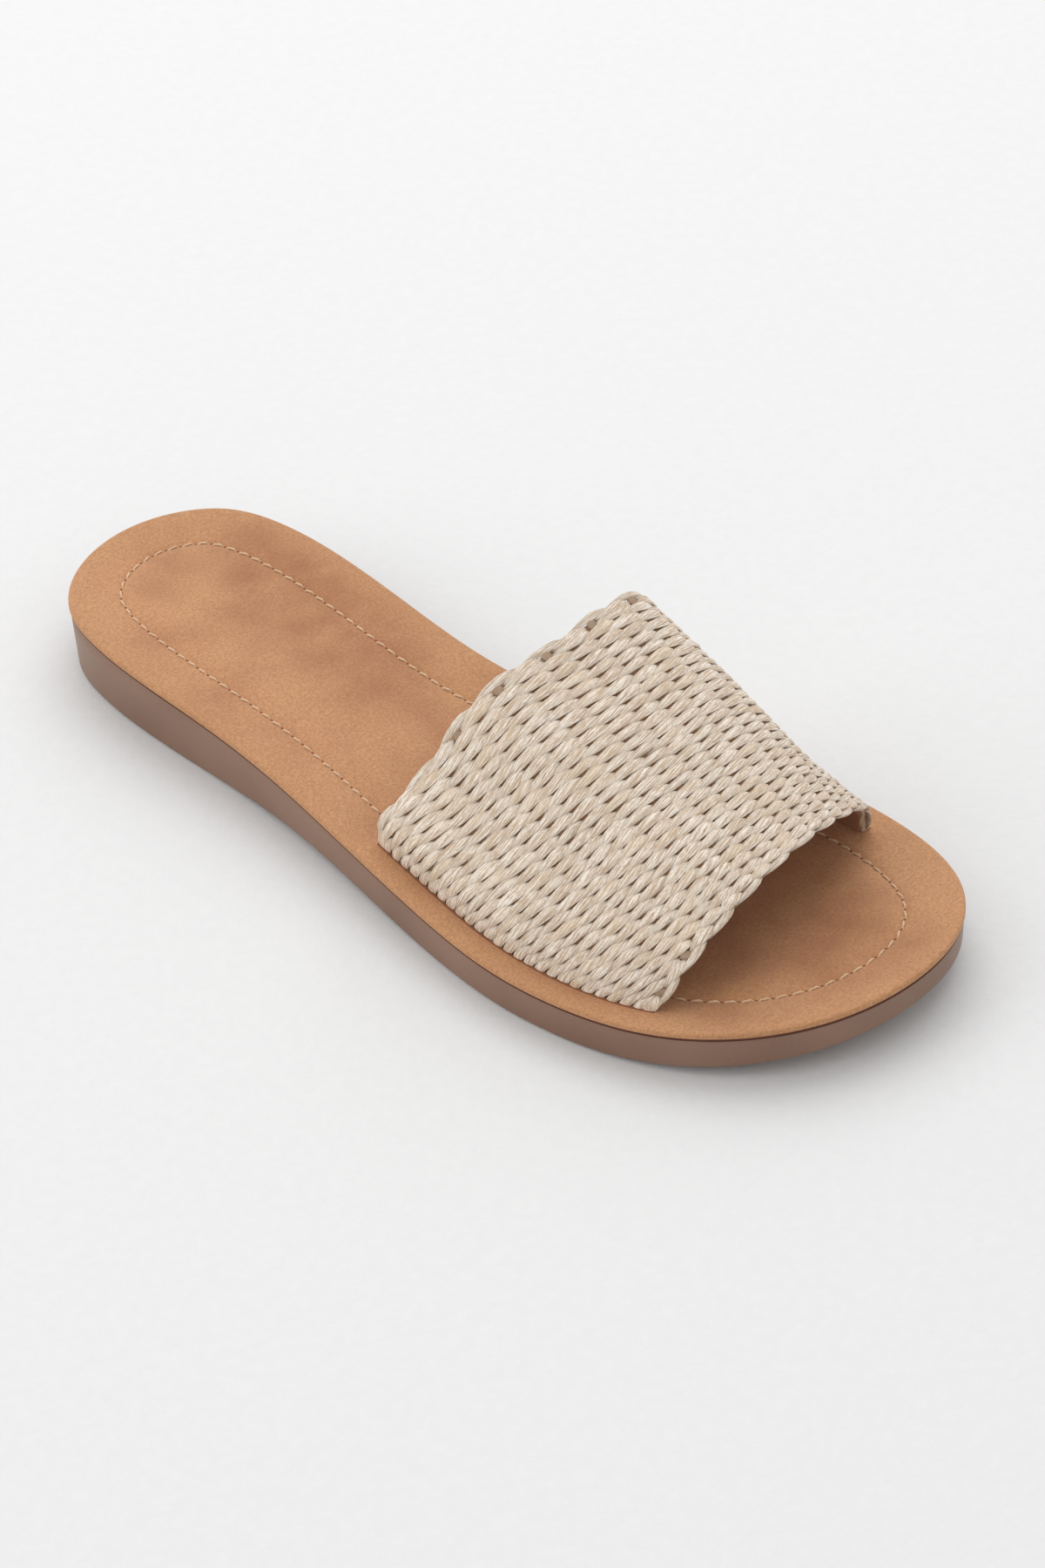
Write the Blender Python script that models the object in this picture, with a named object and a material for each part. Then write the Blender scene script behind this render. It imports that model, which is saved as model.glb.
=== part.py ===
"""Flat slide sandal for a right foot: a moulded sole unit, an insole board, a leather-look footbed
cover and one woven band over the forefoot. Metres, +Z up, toe towards +Y, outer side of the foot
towards +X, standing on z = 0."""

from math import cos, pi, radians, sin, tan

import bmesh
import bpy
import numpy as np

# Driving sizes of the last and the sole
FOOTBED_LENGTH = 0.250
BALL_WIDTH = 0.0977
HEEL_HEIGHT = 0.0160
ARCH_LIFT = 0.0016
TOE_SPRING = 0.0070

# Thickness of each layer and how far its edge stands in from the footbed's outline
COVER_THICK = 0.0013
BOARD_THICK = 0.0010
BOARD_STEP = 0.0002
SOLE_STEP = 0.0003
WALL_DRAFT = radians(2.5)
TREAD_RADIUS = 0.0012
COVER_ROUND = 0.0008

# The band's wall, the room that it leaves for the foot, how far it sags between its edges as a
# share of that, and its place on the footbed
BAND_WALL = 0.0020
STRAND_RISE = 0.0010
BAND_INSET = 0.0070
FRONT_RISE = 0.0225
REAR_RISE = 0.0440
FRONT_BOW = 0.0075
REAR_BOW = 0.0105
BAND_SAG = 0.04
OUTER_FRONT, OUTER_REAR = 0.2125, 0.1240
INNER_FRONT, INNER_REAR = 0.2070, 0.1380
STRAND_COLUMNS = 20
STRAND_ROWS = 26

# Gap between pieces that touch
CLEAR = 0.0003

# Stations from heel to toe, samples of a curve before it is read at even steps, and the angle
# from which an edge is shaded as a crease
STATIONS = 34
SAMPLES = 2000
CREASE_ANGLE = radians(38)

# Footbed outline, from the back of the heel round by the outer side to the toe and back:
# along is a share of the footbed length, across a share of the ball width from the heel's centre line
OUTLINE = np.array(
    [
        # along, across
        (0.003, -0.045),
        (0.027, 0.188),
        (0.054, 0.255),
        (0.100, 0.304),
        (0.180, 0.338),
        (0.280, 0.356),
        (0.380, 0.385),
        (0.486, 0.437),
        (0.592, 0.492),
        (0.688, 0.525),
        (0.768, 0.517),
        (0.836, 0.481),
        (0.894, 0.415),
        (0.942, 0.318),
        (0.979, 0.185),
        (1.000, -0.020),
        (0.990, -0.200),
        (0.958, -0.325),
        (0.910, -0.405),
        (0.850, -0.449),
        (0.780, -0.462),
        (0.710, -0.443),
        (0.640, -0.397),
        (0.560, -0.339),
        (0.480, -0.295),
        (0.400, -0.279),
        (0.300, -0.296),
        (0.200, -0.323),
        (0.120, -0.326),
        (0.056, -0.281),
        (0.020, -0.180),
    ]
)

# Height of the footbed's lower edge over the ground, as a share of the heel height
SEAT_CURVE = np.array(
    [
        # along, height
        (0.00, 1.06),
        (0.14, 1.05),
        (0.28, 0.97),
        (0.42, 0.81),
        (0.58, 0.68),
        (0.74, 0.62),
        (0.86, 0.68),
        (1.00, 0.92),
    ]
)

# Where the arch of the sole starts and ends, and where the toe spring starts
ARCH_START, ARCH_END, SPRING_START = 0.22, 0.62, 0.76
SPRING_POWER = 1.8

# The band's front and rear edges, from the outer foot (0) to the inner foot (1): across is a
# share of the way between its feet, rise a share of the edge's height, and bow a share of how far
# the edge swings towards the toe
ARCH = np.array(
    [
        # front across, front rise, front bow, rear across, rear rise, rear bow
        (0.000, 0.00, 0.00, 0.000, 0.00, 0.00),
        (0.046, 0.28, 0.35, -0.004, 0.17, 0.17),
        (0.122, 0.55, 0.60, 0.070, 0.35, 0.45),
        (0.224, 0.77, 0.80, 0.155, 0.53, 0.68),
        (0.334, 0.93, 0.93, 0.275, 0.79, 0.93),
        (0.490, 1.01, 1.00, 0.455, 0.92, 1.00),
        (0.622, 0.99, 0.95, 0.660, 0.97, 0.96),
        (0.773, 0.82, 0.75, 0.830, 1.00, 0.80),
        (0.915, 0.55, 0.40, 1.060, 0.94, 0.50),
        (0.978, 0.32, 0.20, 1.110, 0.66, 0.35),
        (0.995, 0.14, 0.08, 1.050, 0.28, 0.18),
        (1.000, 0.00, 0.00, 1.000, 0.00, 0.00),
    ]
)


def spline(knots, values, at, closed=False):
    """Cubic curve with a steady bend through the values at the knots, read at the places asked for."""
    knots, values = np.asarray(knots), np.asarray(values)
    count = len(knots)
    step = np.diff(knots)
    matrix, right = np.eye(count), np.zeros(count)
    for i in range(1, count - 1):
        matrix[i, i - 1 : i + 2] = step[i - 1], 2 * (step[i - 1] + step[i]), step[i]
        right[i] = 6 * ((values[i + 1] - values[i]) / step[i] - (values[i] - values[i - 1]) / step[i - 1])
    if closed:
        matrix[0, [0, 1, -2]] = 2 * (step[0] + step[-1]), step[0], step[-1]
        right[0] = 6 * ((values[1] - values[0]) / step[0] - (values[-1] - values[-2]) / step[-1])
        matrix[-1, [0, -1]] = 1, -1
    bend = np.linalg.solve(matrix, right)
    i = np.clip(np.searchsorted(knots, at, side="right") - 1, 0, count - 2)
    ahead, behind = knots[i + 1] - at, at - knots[i]
    width = step[i]
    return (
        (bend[i] * ahead**3 + bend[i + 1] * behind**3) / (6 * width)
        + (values[i] / width - bend[i] * width / 6) * ahead
        + (values[i + 1] / width - bend[i + 1] * width / 6) * behind
    )


def footbed_outline():
    """Both sides of the footbed at the same stations: outer and inner points, heel first."""
    points = np.vstack([OUTLINE, OUTLINE[:1]]) * (FOOTBED_LENGTH, BALL_WIDTH)
    run = np.concatenate([[0], np.cumsum(np.linalg.norm(np.diff(points, axis=0), axis=1))])
    fine = np.linspace(0, run[-1], SAMPLES)
    y = spline(run, points[:, 0], fine, closed=True)
    x = spline(run, points[:, 1], fine, closed=True)
    x = x - (x.min() + x.max()) / 2
    heel, toe = y.argmin(), y.argmax()
    outer = np.column_stack([x[heel : toe + 1], y[heel : toe + 1]])
    inner = np.column_stack([np.r_[x[toe:], x[1 : heel + 1]], np.r_[y[toe:], y[1 : heel + 1]]])[::-1]
    station = y[heel] + (y[toe] - y[heel]) * (1 - np.cos(np.linspace(0, pi, STATIONS + 1))) / 2
    middle = (y[heel] + y[toe]) / 2
    sides = [
        np.column_stack([np.interp(station, side[:, 1], side[:, 0]), station - middle])
        for side in (outer, inner)
    ]
    return sides[0], sides[1]


OUTER_SIDE, INNER_SIDE = footbed_outline()
HEEL_Y = OUTER_SIDE[0, 1]
LENGTH = OUTER_SIDE[-1, 1] - HEEL_Y


def share(y):
    """Where y lies between the heel (0) and the toe (1)."""
    return np.clip((np.asarray(y) - HEEL_Y) / LENGTH, 0, 1)


def seat_height(y):
    """Height of the cover's underside over the ground."""
    return HEEL_HEIGHT * spline(SEAT_CURVE[:, 0], SEAT_CURVE[:, 1], share(y))


def ground_lift(y):
    """How far the tread is off the ground: nothing at heel and ball, more at the arch and the toe."""
    along = share(y)
    arch = np.clip((along - ARCH_START) / (ARCH_END - ARCH_START), 0, 1)
    spring = np.clip((along - SPRING_START) / (1 - SPRING_START), 0, 1)
    return ARCH_LIFT * np.sin(pi * arch) ** 2 + TOE_SPRING * spring**SPRING_POWER


def ring(inset, height):
    """The footbed's outline moved inwards, a closed loop of points at the height of each."""
    loop = np.vstack([OUTER_SIDE, INNER_SIDE[-2:0:-1]])
    along = np.roll(loop, -1, axis=0) - np.roll(loop, 1, axis=0)
    along /= np.linalg.norm(along, axis=1)[:, None]
    inwards = np.column_stack([-along[:, 1], along[:, 0]])
    y = loop[:, 1]
    loop = loop + inwards * np.broadcast_to(inset(y) if callable(inset) else inset, y.shape)[:, None]
    return np.column_stack([loop, height(y)])


def add_object(name, mesh, collection):
    mesh.shade_smooth()
    mesh.set_sharp_from_angle(angle=CREASE_ANGLE)
    obj = bpy.data.objects.new(name, mesh)
    collection.objects.link(obj)
    return obj


def mesh_of(name, points, faces):
    """Closed mesh from points and faces, with its faces turned outwards."""
    form = bmesh.new()
    verts = [form.verts.new(point) for point in points]
    for face in faces:
        form.faces.new([verts[i] for i in face])
    bmesh.ops.recalc_face_normals(form, faces=form.faces)
    mesh = bpy.data.meshes.new(name)
    form.to_mesh(mesh)
    form.free()
    return mesh


def layer(name, rings, collection):
    """Closed slab through a stack of rings, lowest first, closed by ladders from side to side."""
    count = 2 * STATIONS
    points = np.vstack(rings)
    faces = []
    for level in range(len(rings) - 1):
        for i in range(count):
            a, b = level * count + i, level * count + (i + 1) % count
            faces.append((a, b, b + count, a + count))
    for base in (0, (len(rings) - 1) * count):
        faces.append((base, base + 1, base + count - 1))
        for i in range(1, STATIONS - 1):
            faces.append((base + i, base + i + 1, base + count - i - 1, base + count - i))
        faces.append((base + STATIONS - 1, base + STATIONS, base + STATIONS + 1))
    return add_object(name, mesh_of(name, points, faces), collection)


def cover_top(y):
    return seat_height(y) + COVER_THICK


def board_top(y):
    return seat_height(y) - CLEAR


def board_low(y):
    return board_top(y) - BOARD_THICK


def sole_top(y):
    return board_low(y) - CLEAR


def make_outsole(collection):
    """Moulded unit whose wall leans in towards the ground and rounds into the tread."""

    def draft(y):
        return SOLE_STEP + tan(WALL_DRAFT) * (sole_top(y) - ground_lift(y))

    def rounding(angle):
        inset = TREAD_RADIUS * (1 - sin(angle))
        height = TREAD_RADIUS * (1 - cos(angle))
        return ring(lambda y: draft(y) + inset, lambda y: ground_lift(y) + height)

    rings = [rounding(angle) for angle in (0, pi / 6, pi / 3, pi / 2)]
    rings.append(ring(SOLE_STEP, sole_top))
    return layer("outsole", rings, collection)


def make_board(collection):
    """Thin stiff board, whose painted edge shows as a dark line under the cover."""
    return layer("insole_board", [ring(BOARD_STEP, board_low), ring(BOARD_STEP, board_top)], collection)


def make_cover(collection):
    """Footbed cover with its top edge rounded over."""
    rings = [ring(0.0, seat_height)]
    for angle in (0, pi / 4, pi / 2):
        inset = COVER_ROUND * (1 - cos(angle))
        drop = COVER_ROUND * (1 - sin(angle))
        rings.append(ring(inset, lambda y: cover_top(y) - drop))
    return layer("footbed_cover", rings, collection)


def foot_line(side, front, rear, sign):
    """Where one end of the band enters the footbed: points from front to rear, inset from the edge."""
    y = HEEL_Y + np.linspace(front, rear, 2 * STRAND_ROWS + 1)
    edge = np.column_stack([np.interp(y, side[:, 1], side[:, 0]), y])
    along = np.gradient(edge, axis=0)
    along /= np.linalg.norm(along, axis=1)[:, None]
    inwards = sign * np.column_stack([-along[:, 1], along[:, 0]])
    return edge + BAND_INSET * inwards


def even_arch(across, rise, bow, width, height):
    """One edge of the band, read at even steps along its length."""
    knots = np.linspace(0, 1, len(across))
    fine = np.linspace(0, 1, SAMPLES)
    curve = np.column_stack([spline(knots, column, fine) for column in (across, rise, bow)])
    length = np.linalg.norm(np.diff(curve[:, :2] * (width, height), axis=0), axis=1)
    run = np.concatenate([[0], np.cumsum(length)])
    even = np.linspace(0, run[-1], STRAND_COLUMNS + 1)
    return np.column_stack([np.interp(even, run, column) for column in curve.T])


def band_surface():
    """Grid of the band's smooth outer face, across by along, with the ends that go into the slots."""
    outer = foot_line(OUTER_SIDE, OUTER_FRONT, OUTER_REAR, -1)
    inner = foot_line(INNER_SIDE, INNER_FRONT, INNER_REAR, 1)
    front = even_arch(*ARCH[:, :3].T, outer[0, 0] - inner[0, 0], FRONT_RISE)
    rear = even_arch(*ARCH[:, 3:].T, outer[-1, 0] - inner[-1, 0], REAR_RISE)
    back = np.linspace(0, 1, len(outer))[None, :]
    arch = front[:, None] * (1 - back[..., None]) + rear[:, None] * back[..., None]
    sag = 1 - 4 * BAND_SAG * back * (1 - back)
    rise = (FRONT_RISE + (REAR_RISE - FRONT_RISE) * back) * sag
    bow = FRONT_BOW + (REAR_BOW - FRONT_BOW) * back
    across = arch[..., 0]
    x = outer[:, 0] * (1 - across) + inner[:, 0] * across
    y = outer[:, 1] * (1 - across) + inner[:, 1] * across + bow * arch[..., 2]
    foot = (cover_top(outer[:, 1]) * (1 - across) + cover_top(inner[:, 1]) * across) + CLEAR
    arches = np.stack([x, y, foot + rise * arch[..., 1]], axis=-1)
    ends = [np.column_stack([line, sole_top(line[:, 1]) + CLEAR]) for line in (outer, inner)]
    return np.concatenate([ends[0][None], arches, ends[1][None]])


def outward(grid):
    """Unit normals of a grid, out of the band, level where its ends are upright in the slots."""
    normal = np.cross(np.gradient(grid, axis=0), np.gradient(grid, axis=1))
    normal[[0, 1, -2, -1], :, 2] = 0
    return normal / np.linalg.norm(normal, axis=-1, keepdims=True)


def strand_relief(grid):
    """How far the strands stand out: over at every second crossing, and staggered like bricks."""
    column, row = np.indices(grid.shape[:2])
    relief = STRAND_RISE * ((column + row) % 2)
    relief[[0, 1, -2, -1]] = 0
    return relief


def make_band(collection):
    """Hollow arch: a smooth inner face, a face of raised strands, and plain ends in the slots."""
    grid = band_surface()
    normal = outward(grid)
    face = grid + normal * strand_relief(grid)[..., None]
    lining = grid - normal * BAND_WALL
    across, along = grid.shape[:2]
    index = np.arange(across * along).reshape(across, along)
    faces = []
    for side in (0, across * along):
        for i in range(across - 1):
            for j in range(along - 1):
                corner = index[i : i + 2, j : j + 2] + side
                faces.append((corner[0, 0], corner[1, 0], corner[1, 1], corner[0, 1]))
    rim = np.concatenate([index[:, 0], index[-1, 1:], index[-2::-1, -1], index[0, -2:0:-1]])
    for a, b in zip(rim, np.roll(rim, -1)):
        faces.append((a, b, b + across * along, a + across * along))
    points = np.vstack([face.reshape(-1, 3), lining.reshape(-1, 3)])
    return add_object("woven_band", mesh_of("woven_band", points, faces), collection)


def make_slot_cutters(collection):
    """One upright block for each end of the band, larger all round by the gap, from the ground up
    to well over the footbed."""
    grid = band_surface()
    normal = outward(grid)
    cutters = []
    for name, end in (("outer_slot", 0), ("inner_slot", -1)):
        line, out = grid[end, :, :2], normal[end, :, :2]
        along = np.gradient(line, axis=0)
        along /= np.linalg.norm(along, axis=1)[:, None]
        line = line.copy()
        line[0] -= along[0] * CLEAR
        line[-1] += along[-1] * CLEAR
        outline = np.vstack([line + out * CLEAR, (line - out * (BAND_WALL + CLEAR))[::-1]])
        count = len(outline)
        points = [(x, y, z) for z in (0.0, 2 * HEEL_HEIGHT) for x, y in outline]
        half = count // 2
        faces = [(i, (i + 1) % count, (i + 1) % count + count, i + count) for i in range(count)]
        for base in (0, count):
            for i in range(half - 1):
                faces.append((base + i, base + i + 1, base + count - 2 - i, base + count - 1 - i))
        cutter = add_object(name, mesh_of(name, points, faces), collection)
        cutter.hide_render = True
        cutter.display_type = "WIRE"
        cutters.append(cutter)
    return cutters


def cut_slots(obj, cutters):
    for cutter in cutters:
        cut = obj.modifiers.new(cutter.name, "BOOLEAN")
        cut.operation = "DIFFERENCE"
        cut.solver = "EXACT"
        cut.object = cutter


def finish(obj, colour, roughness):
    """Principled material of the piece's own colour."""
    material = bpy.data.materials.new(obj.name)
    material.use_nodes = True
    shader = material.node_tree.nodes["Principled BSDF"]
    shader.inputs["Base Color"].default_value = (*colour, 1.0)
    shader.inputs["Roughness"].default_value = roughness
    shader.inputs["Metallic"].default_value = 0.0
    obj.data.materials.append(material)


def new_collection(name):
    collection = bpy.data.collections.new(name)
    bpy.context.scene.collection.children.link(collection)
    return collection


def main():
    for old in list(bpy.data.objects):
        bpy.data.objects.remove(old, do_unlink=True)
    sandal = new_collection("slide_sandal")
    cutters = make_slot_cutters(new_collection("cutters"))
    outsole = make_outsole(sandal)
    board = make_board(sandal)
    cover = make_cover(sandal)
    band = make_band(sandal)
    cut_slots(board, cutters)
    cut_slots(cover, cutters)
    finish(outsole, (0.200, 0.140, 0.110), 0.45)
    finish(board, (0.060, 0.028, 0.020), 0.60)
    finish(cover, (0.560, 0.310, 0.180), 0.80)
    finish(band, (0.620, 0.520, 0.400), 0.75)


main()
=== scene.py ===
# %% [markdown]
# # A woven slide sandal
# A flat slide has few pieces: a moulded sole unit, a thin board, a footbed cover with one line of
# stitches, and a wide band woven from soft straw-coloured fibre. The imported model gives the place
# and size of each, and this notebook makes the surfaces that are seen.

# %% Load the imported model
import math

import bmesh
import bpy
import numpy as np
from mathutils import Matrix, Vector


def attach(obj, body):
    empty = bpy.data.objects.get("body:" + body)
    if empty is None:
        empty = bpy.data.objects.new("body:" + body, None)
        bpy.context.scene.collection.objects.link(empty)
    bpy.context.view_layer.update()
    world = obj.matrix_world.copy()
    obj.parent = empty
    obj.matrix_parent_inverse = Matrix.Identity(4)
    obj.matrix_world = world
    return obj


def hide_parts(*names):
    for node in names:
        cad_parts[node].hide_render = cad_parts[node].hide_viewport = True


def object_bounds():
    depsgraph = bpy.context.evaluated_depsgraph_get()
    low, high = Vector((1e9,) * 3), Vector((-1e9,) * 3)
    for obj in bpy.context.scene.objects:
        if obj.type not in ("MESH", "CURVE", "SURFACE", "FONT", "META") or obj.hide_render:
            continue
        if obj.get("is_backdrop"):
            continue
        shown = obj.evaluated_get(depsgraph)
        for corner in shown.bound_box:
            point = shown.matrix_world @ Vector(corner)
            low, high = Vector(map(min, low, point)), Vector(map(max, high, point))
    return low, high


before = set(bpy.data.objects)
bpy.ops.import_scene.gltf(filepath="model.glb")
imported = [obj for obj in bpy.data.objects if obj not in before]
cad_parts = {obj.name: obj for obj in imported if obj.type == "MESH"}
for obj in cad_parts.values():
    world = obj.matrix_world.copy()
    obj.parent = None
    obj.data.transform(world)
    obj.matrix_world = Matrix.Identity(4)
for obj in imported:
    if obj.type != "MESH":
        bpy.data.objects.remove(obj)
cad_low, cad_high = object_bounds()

print("packed nodes:", sorted(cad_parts))
print("box in mm:", [round(float(side) * 1000, 1) for side in cad_high - cad_low])

# %% [markdown]
# ## Sizes
# The last is described by shares of a few named sizes, in metres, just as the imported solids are.
# Toe is towards +Y, the outer side of the right foot towards +X, and the ground is z = 0. The packed
# meshes could be smoothed instead, but they are faceted, and a surface that is worked out again from
# the same sizes stays smooth at any step.

# %% Driving sizes
FOOTBED_LENGTH = 0.250
BALL_WIDTH = 0.0977
HEEL_HEIGHT = 0.0160
ARCH_LIFT = 0.0016
TOE_SPRING = 0.0070
COVER_THICK = 0.0013
BOARD_THICK = 0.0010
CLEAR = 0.0003
BAND_WALL = 0.0020
BAND_INSET = 0.0070
# The band's edges: height over the footbed, bow to the front, and the share of the height that the
# band loses midway between them
FRONT_RISE, REAR_RISE = 0.0225, 0.0440
FRONT_BOW, REAR_BOW = 0.0075, 0.0105
BAND_SAG = 0.04
# The band's feet on either side, measured from the heel
OUTER_FRONT, OUTER_REAR = 0.2125, 0.1240
INNER_FRONT, INNER_REAR = 0.2070, 0.1380
MM = 0.001
print("layers over the sole, mm:", round((COVER_THICK + BOARD_THICK + 2 * CLEAR) / MM, 1))

# %% Tables of the last, as shares of the sizes
OUTLINE = np.array(
    [
        # along the footbed, across from the heel's centre line
        (0.003, -0.045), (0.027, 0.188), (0.054, 0.255), (0.100, 0.304),
        (0.180, 0.338), (0.280, 0.356), (0.380, 0.385), (0.486, 0.437),
        (0.592, 0.492), (0.688, 0.525), (0.768, 0.517), (0.836, 0.481),
        (0.894, 0.415), (0.942, 0.318), (0.979, 0.185), (1.000, -0.020),
        (0.990, -0.200), (0.958, -0.325), (0.910, -0.405), (0.850, -0.449),
        (0.780, -0.462), (0.710, -0.443), (0.640, -0.397), (0.560, -0.339),
        (0.480, -0.295), (0.400, -0.279), (0.300, -0.296), (0.200, -0.323),
        (0.120, -0.326), (0.056, -0.281), (0.020, -0.180),
    ]
)
SEAT_CURVE = np.array(
    [
        # along, height of the cover's underside
        (0.00, 1.06), (0.14, 1.05), (0.28, 0.97), (0.42, 0.81),
        (0.58, 0.68), (0.74, 0.62), (0.86, 0.68), (1.00, 0.92),
    ]
)
ARCH = np.array(
    [
        # front across, front rise, front bow, rear across, rear rise, rear bow
        (0.000, 0.00, 0.00, 0.000, 0.00, 0.00),
        (0.046, 0.28, 0.35, -0.004, 0.17, 0.17),
        (0.122, 0.55, 0.60, 0.070, 0.35, 0.45),
        (0.224, 0.77, 0.80, 0.155, 0.53, 0.68),
        (0.334, 0.93, 0.93, 0.275, 0.79, 0.93),
        (0.490, 1.01, 1.00, 0.455, 0.92, 1.00),
        (0.622, 0.99, 0.95, 0.660, 0.97, 0.96),
        (0.773, 0.82, 0.75, 0.830, 1.00, 0.80),
        (0.915, 0.55, 0.40, 1.060, 0.94, 0.50),
        (0.978, 0.32, 0.20, 1.110, 0.66, 0.35),
        (0.995, 0.14, 0.08, 1.050, 0.28, 0.18),
        (1.000, 0.00, 0.00, 1.000, 0.00, 0.00),
    ]
)
# The hollow under the arch and the toe spring, as shares of the length
ARCH_START, ARCH_END, SPRING_START, SPRING_POWER = 0.22, 0.62, 0.76, 1.8
print("points of the outline, seat and arch:", len(OUTLINE), len(SEAT_CURVE), len(ARCH))

# %% [markdown]
# ## Curves through few points
# A last is drawn with a bendy rule held at a few places. Straight lines between the places would
# leave corners, and one polynomial through them all would swing. A cubic spline does what the rule
# does: its bends are solved for once, and it is then read at as many places as a mesh needs.

# %% The bendy rule
def bent_rule(knots, values, at, closed=False):
    """Cubic spline: between two knots the curve is a cubic, and slope and bend run on over each
    knot. The bends come from one set of linear equations; open ends are straight."""
    knots, values = np.asarray(knots), np.asarray(values)
    count, step = len(knots), np.diff(knots)
    matrix, right = np.eye(count), np.zeros(count)
    for i in range(1, count - 1):
        matrix[i, i - 1 : i + 2] = step[i - 1], 2 * (step[i - 1] + step[i]), step[i]
        right[i] = 6 * ((values[i + 1] - values[i]) / step[i] - (values[i] - values[i - 1]) / step[i - 1])
    if closed:
        matrix[0, [0, 1, -2]] = 2 * (step[0] + step[-1]), step[0], step[-1]
        right[0] = 6 * ((values[1] - values[0]) / step[0] - (values[-1] - values[-2]) / step[-1])
        matrix[-1, [0, -1]] = 1, -1
    bend = np.linalg.solve(matrix, right)
    i = np.clip(np.searchsorted(knots, at, side="right") - 1, 0, count - 2)
    ahead, behind, width = knots[i + 1] - at, at - knots[i], step[i]
    return (
        (bend[i] * ahead**3 + bend[i + 1] * behind**3) / (6 * width)
        + (values[i] / width - bend[i] * width / 6) * ahead
        + (values[i + 1] / width - bend[i + 1] * width / 6) * behind
    )


def path_length(points):
    """Running length along a row of points, from 0."""
    return np.concatenate([[0], np.cumsum(np.linalg.norm(np.diff(points, axis=0), axis=1))])


def unit(vectors):
    """Each vector divided by its own length."""
    return vectors / np.maximum(np.linalg.norm(vectors, axis=-1, keepdims=True), 1e-12)


print("a rule held at 0, 1 and 0 stands at", bent_rule([0, 1, 2], [0, 1, 0], np.array([0.5])), "a quarter in")

# %% Outline of the footbed
STATIONS = 150
FINE_STEPS = 4000


def footbed_sides():
    """The closed outline, cut at heel and toe into an outer and an inner side. Both are read at
    stations y = middle - half * cos(angle), so that the points are close together at the ends."""
    points = np.vstack([OUTLINE, OUTLINE[:1]]) * (FOOTBED_LENGTH, BALL_WIDTH)
    run = path_length(points)
    fine = np.linspace(0, run[-1], FINE_STEPS)
    y = bent_rule(run, points[:, 0], fine, closed=True)
    x = bent_rule(run, points[:, 1], fine, closed=True)
    x = x - (x.min() + x.max()) / 2
    heel, toe = y.argmin(), y.argmax()
    outer = np.column_stack([x[heel : toe + 1], y[heel : toe + 1]])
    inner = np.column_stack([np.r_[x[toe:], x[1 : heel + 1]], np.r_[y[toe:], y[1 : heel + 1]]])[::-1]
    station = y[heel] + (y[toe] - y[heel]) * (1 - np.cos(np.linspace(0, np.pi, STATIONS + 1))) / 2
    middle = (y[heel] + y[toe]) / 2
    return [np.column_stack([np.interp(station, s[:, 1], s[:, 0]), station - middle]) for s in (outer, inner)]


OUTER_SIDE, INNER_SIDE = footbed_sides()
HEEL_Y, TOE_Y = OUTER_SIDE[0, 1], OUTER_SIDE[-1, 1]
LOOP = np.vstack([OUTER_SIDE, INNER_SIDE[-2:0:-1]])
print("footbed from heel to toe, mm:", round((TOE_Y - HEEL_Y) / MM, 1))


# %% Heights along the sandal
def share(y):
    """Place along the footbed, from 0 at the heel to 1 at the toe."""
    return np.clip((np.asarray(y) - HEEL_Y) / (TOE_Y - HEEL_Y), 0, 1)


def seat_height(y):
    """Underside of the cover: the seat curve times the heel height."""
    return HEEL_HEIGHT * bent_rule(SEAT_CURVE[:, 0], SEAT_CURVE[:, 1], share(y))


def ground_lift(y):
    """Tread over the ground: a squared sine under the arch and a rising power at the toe."""
    arch = np.clip((share(y) - ARCH_START) / (ARCH_END - ARCH_START), 0, 1)
    spring = np.clip((share(y) - SPRING_START) / (1 - SPRING_START), 0, 1)
    return ARCH_LIFT * np.sin(np.pi * arch) ** 2 + TOE_SPRING * spring**SPRING_POWER


def cover_top(y):
    """Upper face of the cover: the seat plus the cover's thickness."""
    return seat_height(y) + COVER_THICK


def sole_top(y):
    """Upper face of the sole: the seat less the board and a gap on either side of it."""
    return seat_height(y) - BOARD_THICK - 2 * CLEAR


def inwards_of(loop):
    """Unit normals of a closed plan loop, towards its middle: the tangent turned by a right angle."""
    along = unit(np.roll(loop, -1, axis=0) - np.roll(loop, 1, axis=0))
    return np.column_stack([-along[:, 1], along[:, 0]])


LOOP_IN = inwards_of(LOOP)


def ring(inset, height):
    """The outline moved inwards by inset, a length or one for each point, and lifted to height(y)."""
    inset = inset(LOOP[:, 1]) if callable(inset) else inset
    moved = LOOP + LOOP_IN * np.broadcast_to(inset, len(LOOP))[:, None]
    return np.column_stack([moved, height(moved[:, 1])])


print("cover over the ground at heel and toe, mm:", (cover_top(np.array([HEEL_Y, TOE_Y])) / MM).round(1))

# %% [markdown]
# ## From arrays to pieces
# Every piece below is an array of points and an array of faces. Modifiers could bend and thicken
# ready-made shapes instead, but a shape that is written as a formula can be measured and changed by
# its sizes. One helper puts the arrays in a mesh, turns the faces outwards by the sign of the
# enclosed volume, and hands the piece to the frame.

# %% Mesh helpers
CREASE = math.radians(50)


def grid_faces(rows, cols, close_cols=False):
    """Quads of a grid of points numbered row by row; the columns may close into a tube."""
    i, j = np.meshgrid(np.arange(rows - 1), np.arange(cols - (not close_cols)), indexing="ij")
    near, far = i * cols, (i + 1) * cols
    return np.stack([near + j, near + (j + 1) % cols, far + (j + 1) % cols, far + j], -1).reshape(-1, 4)


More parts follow.
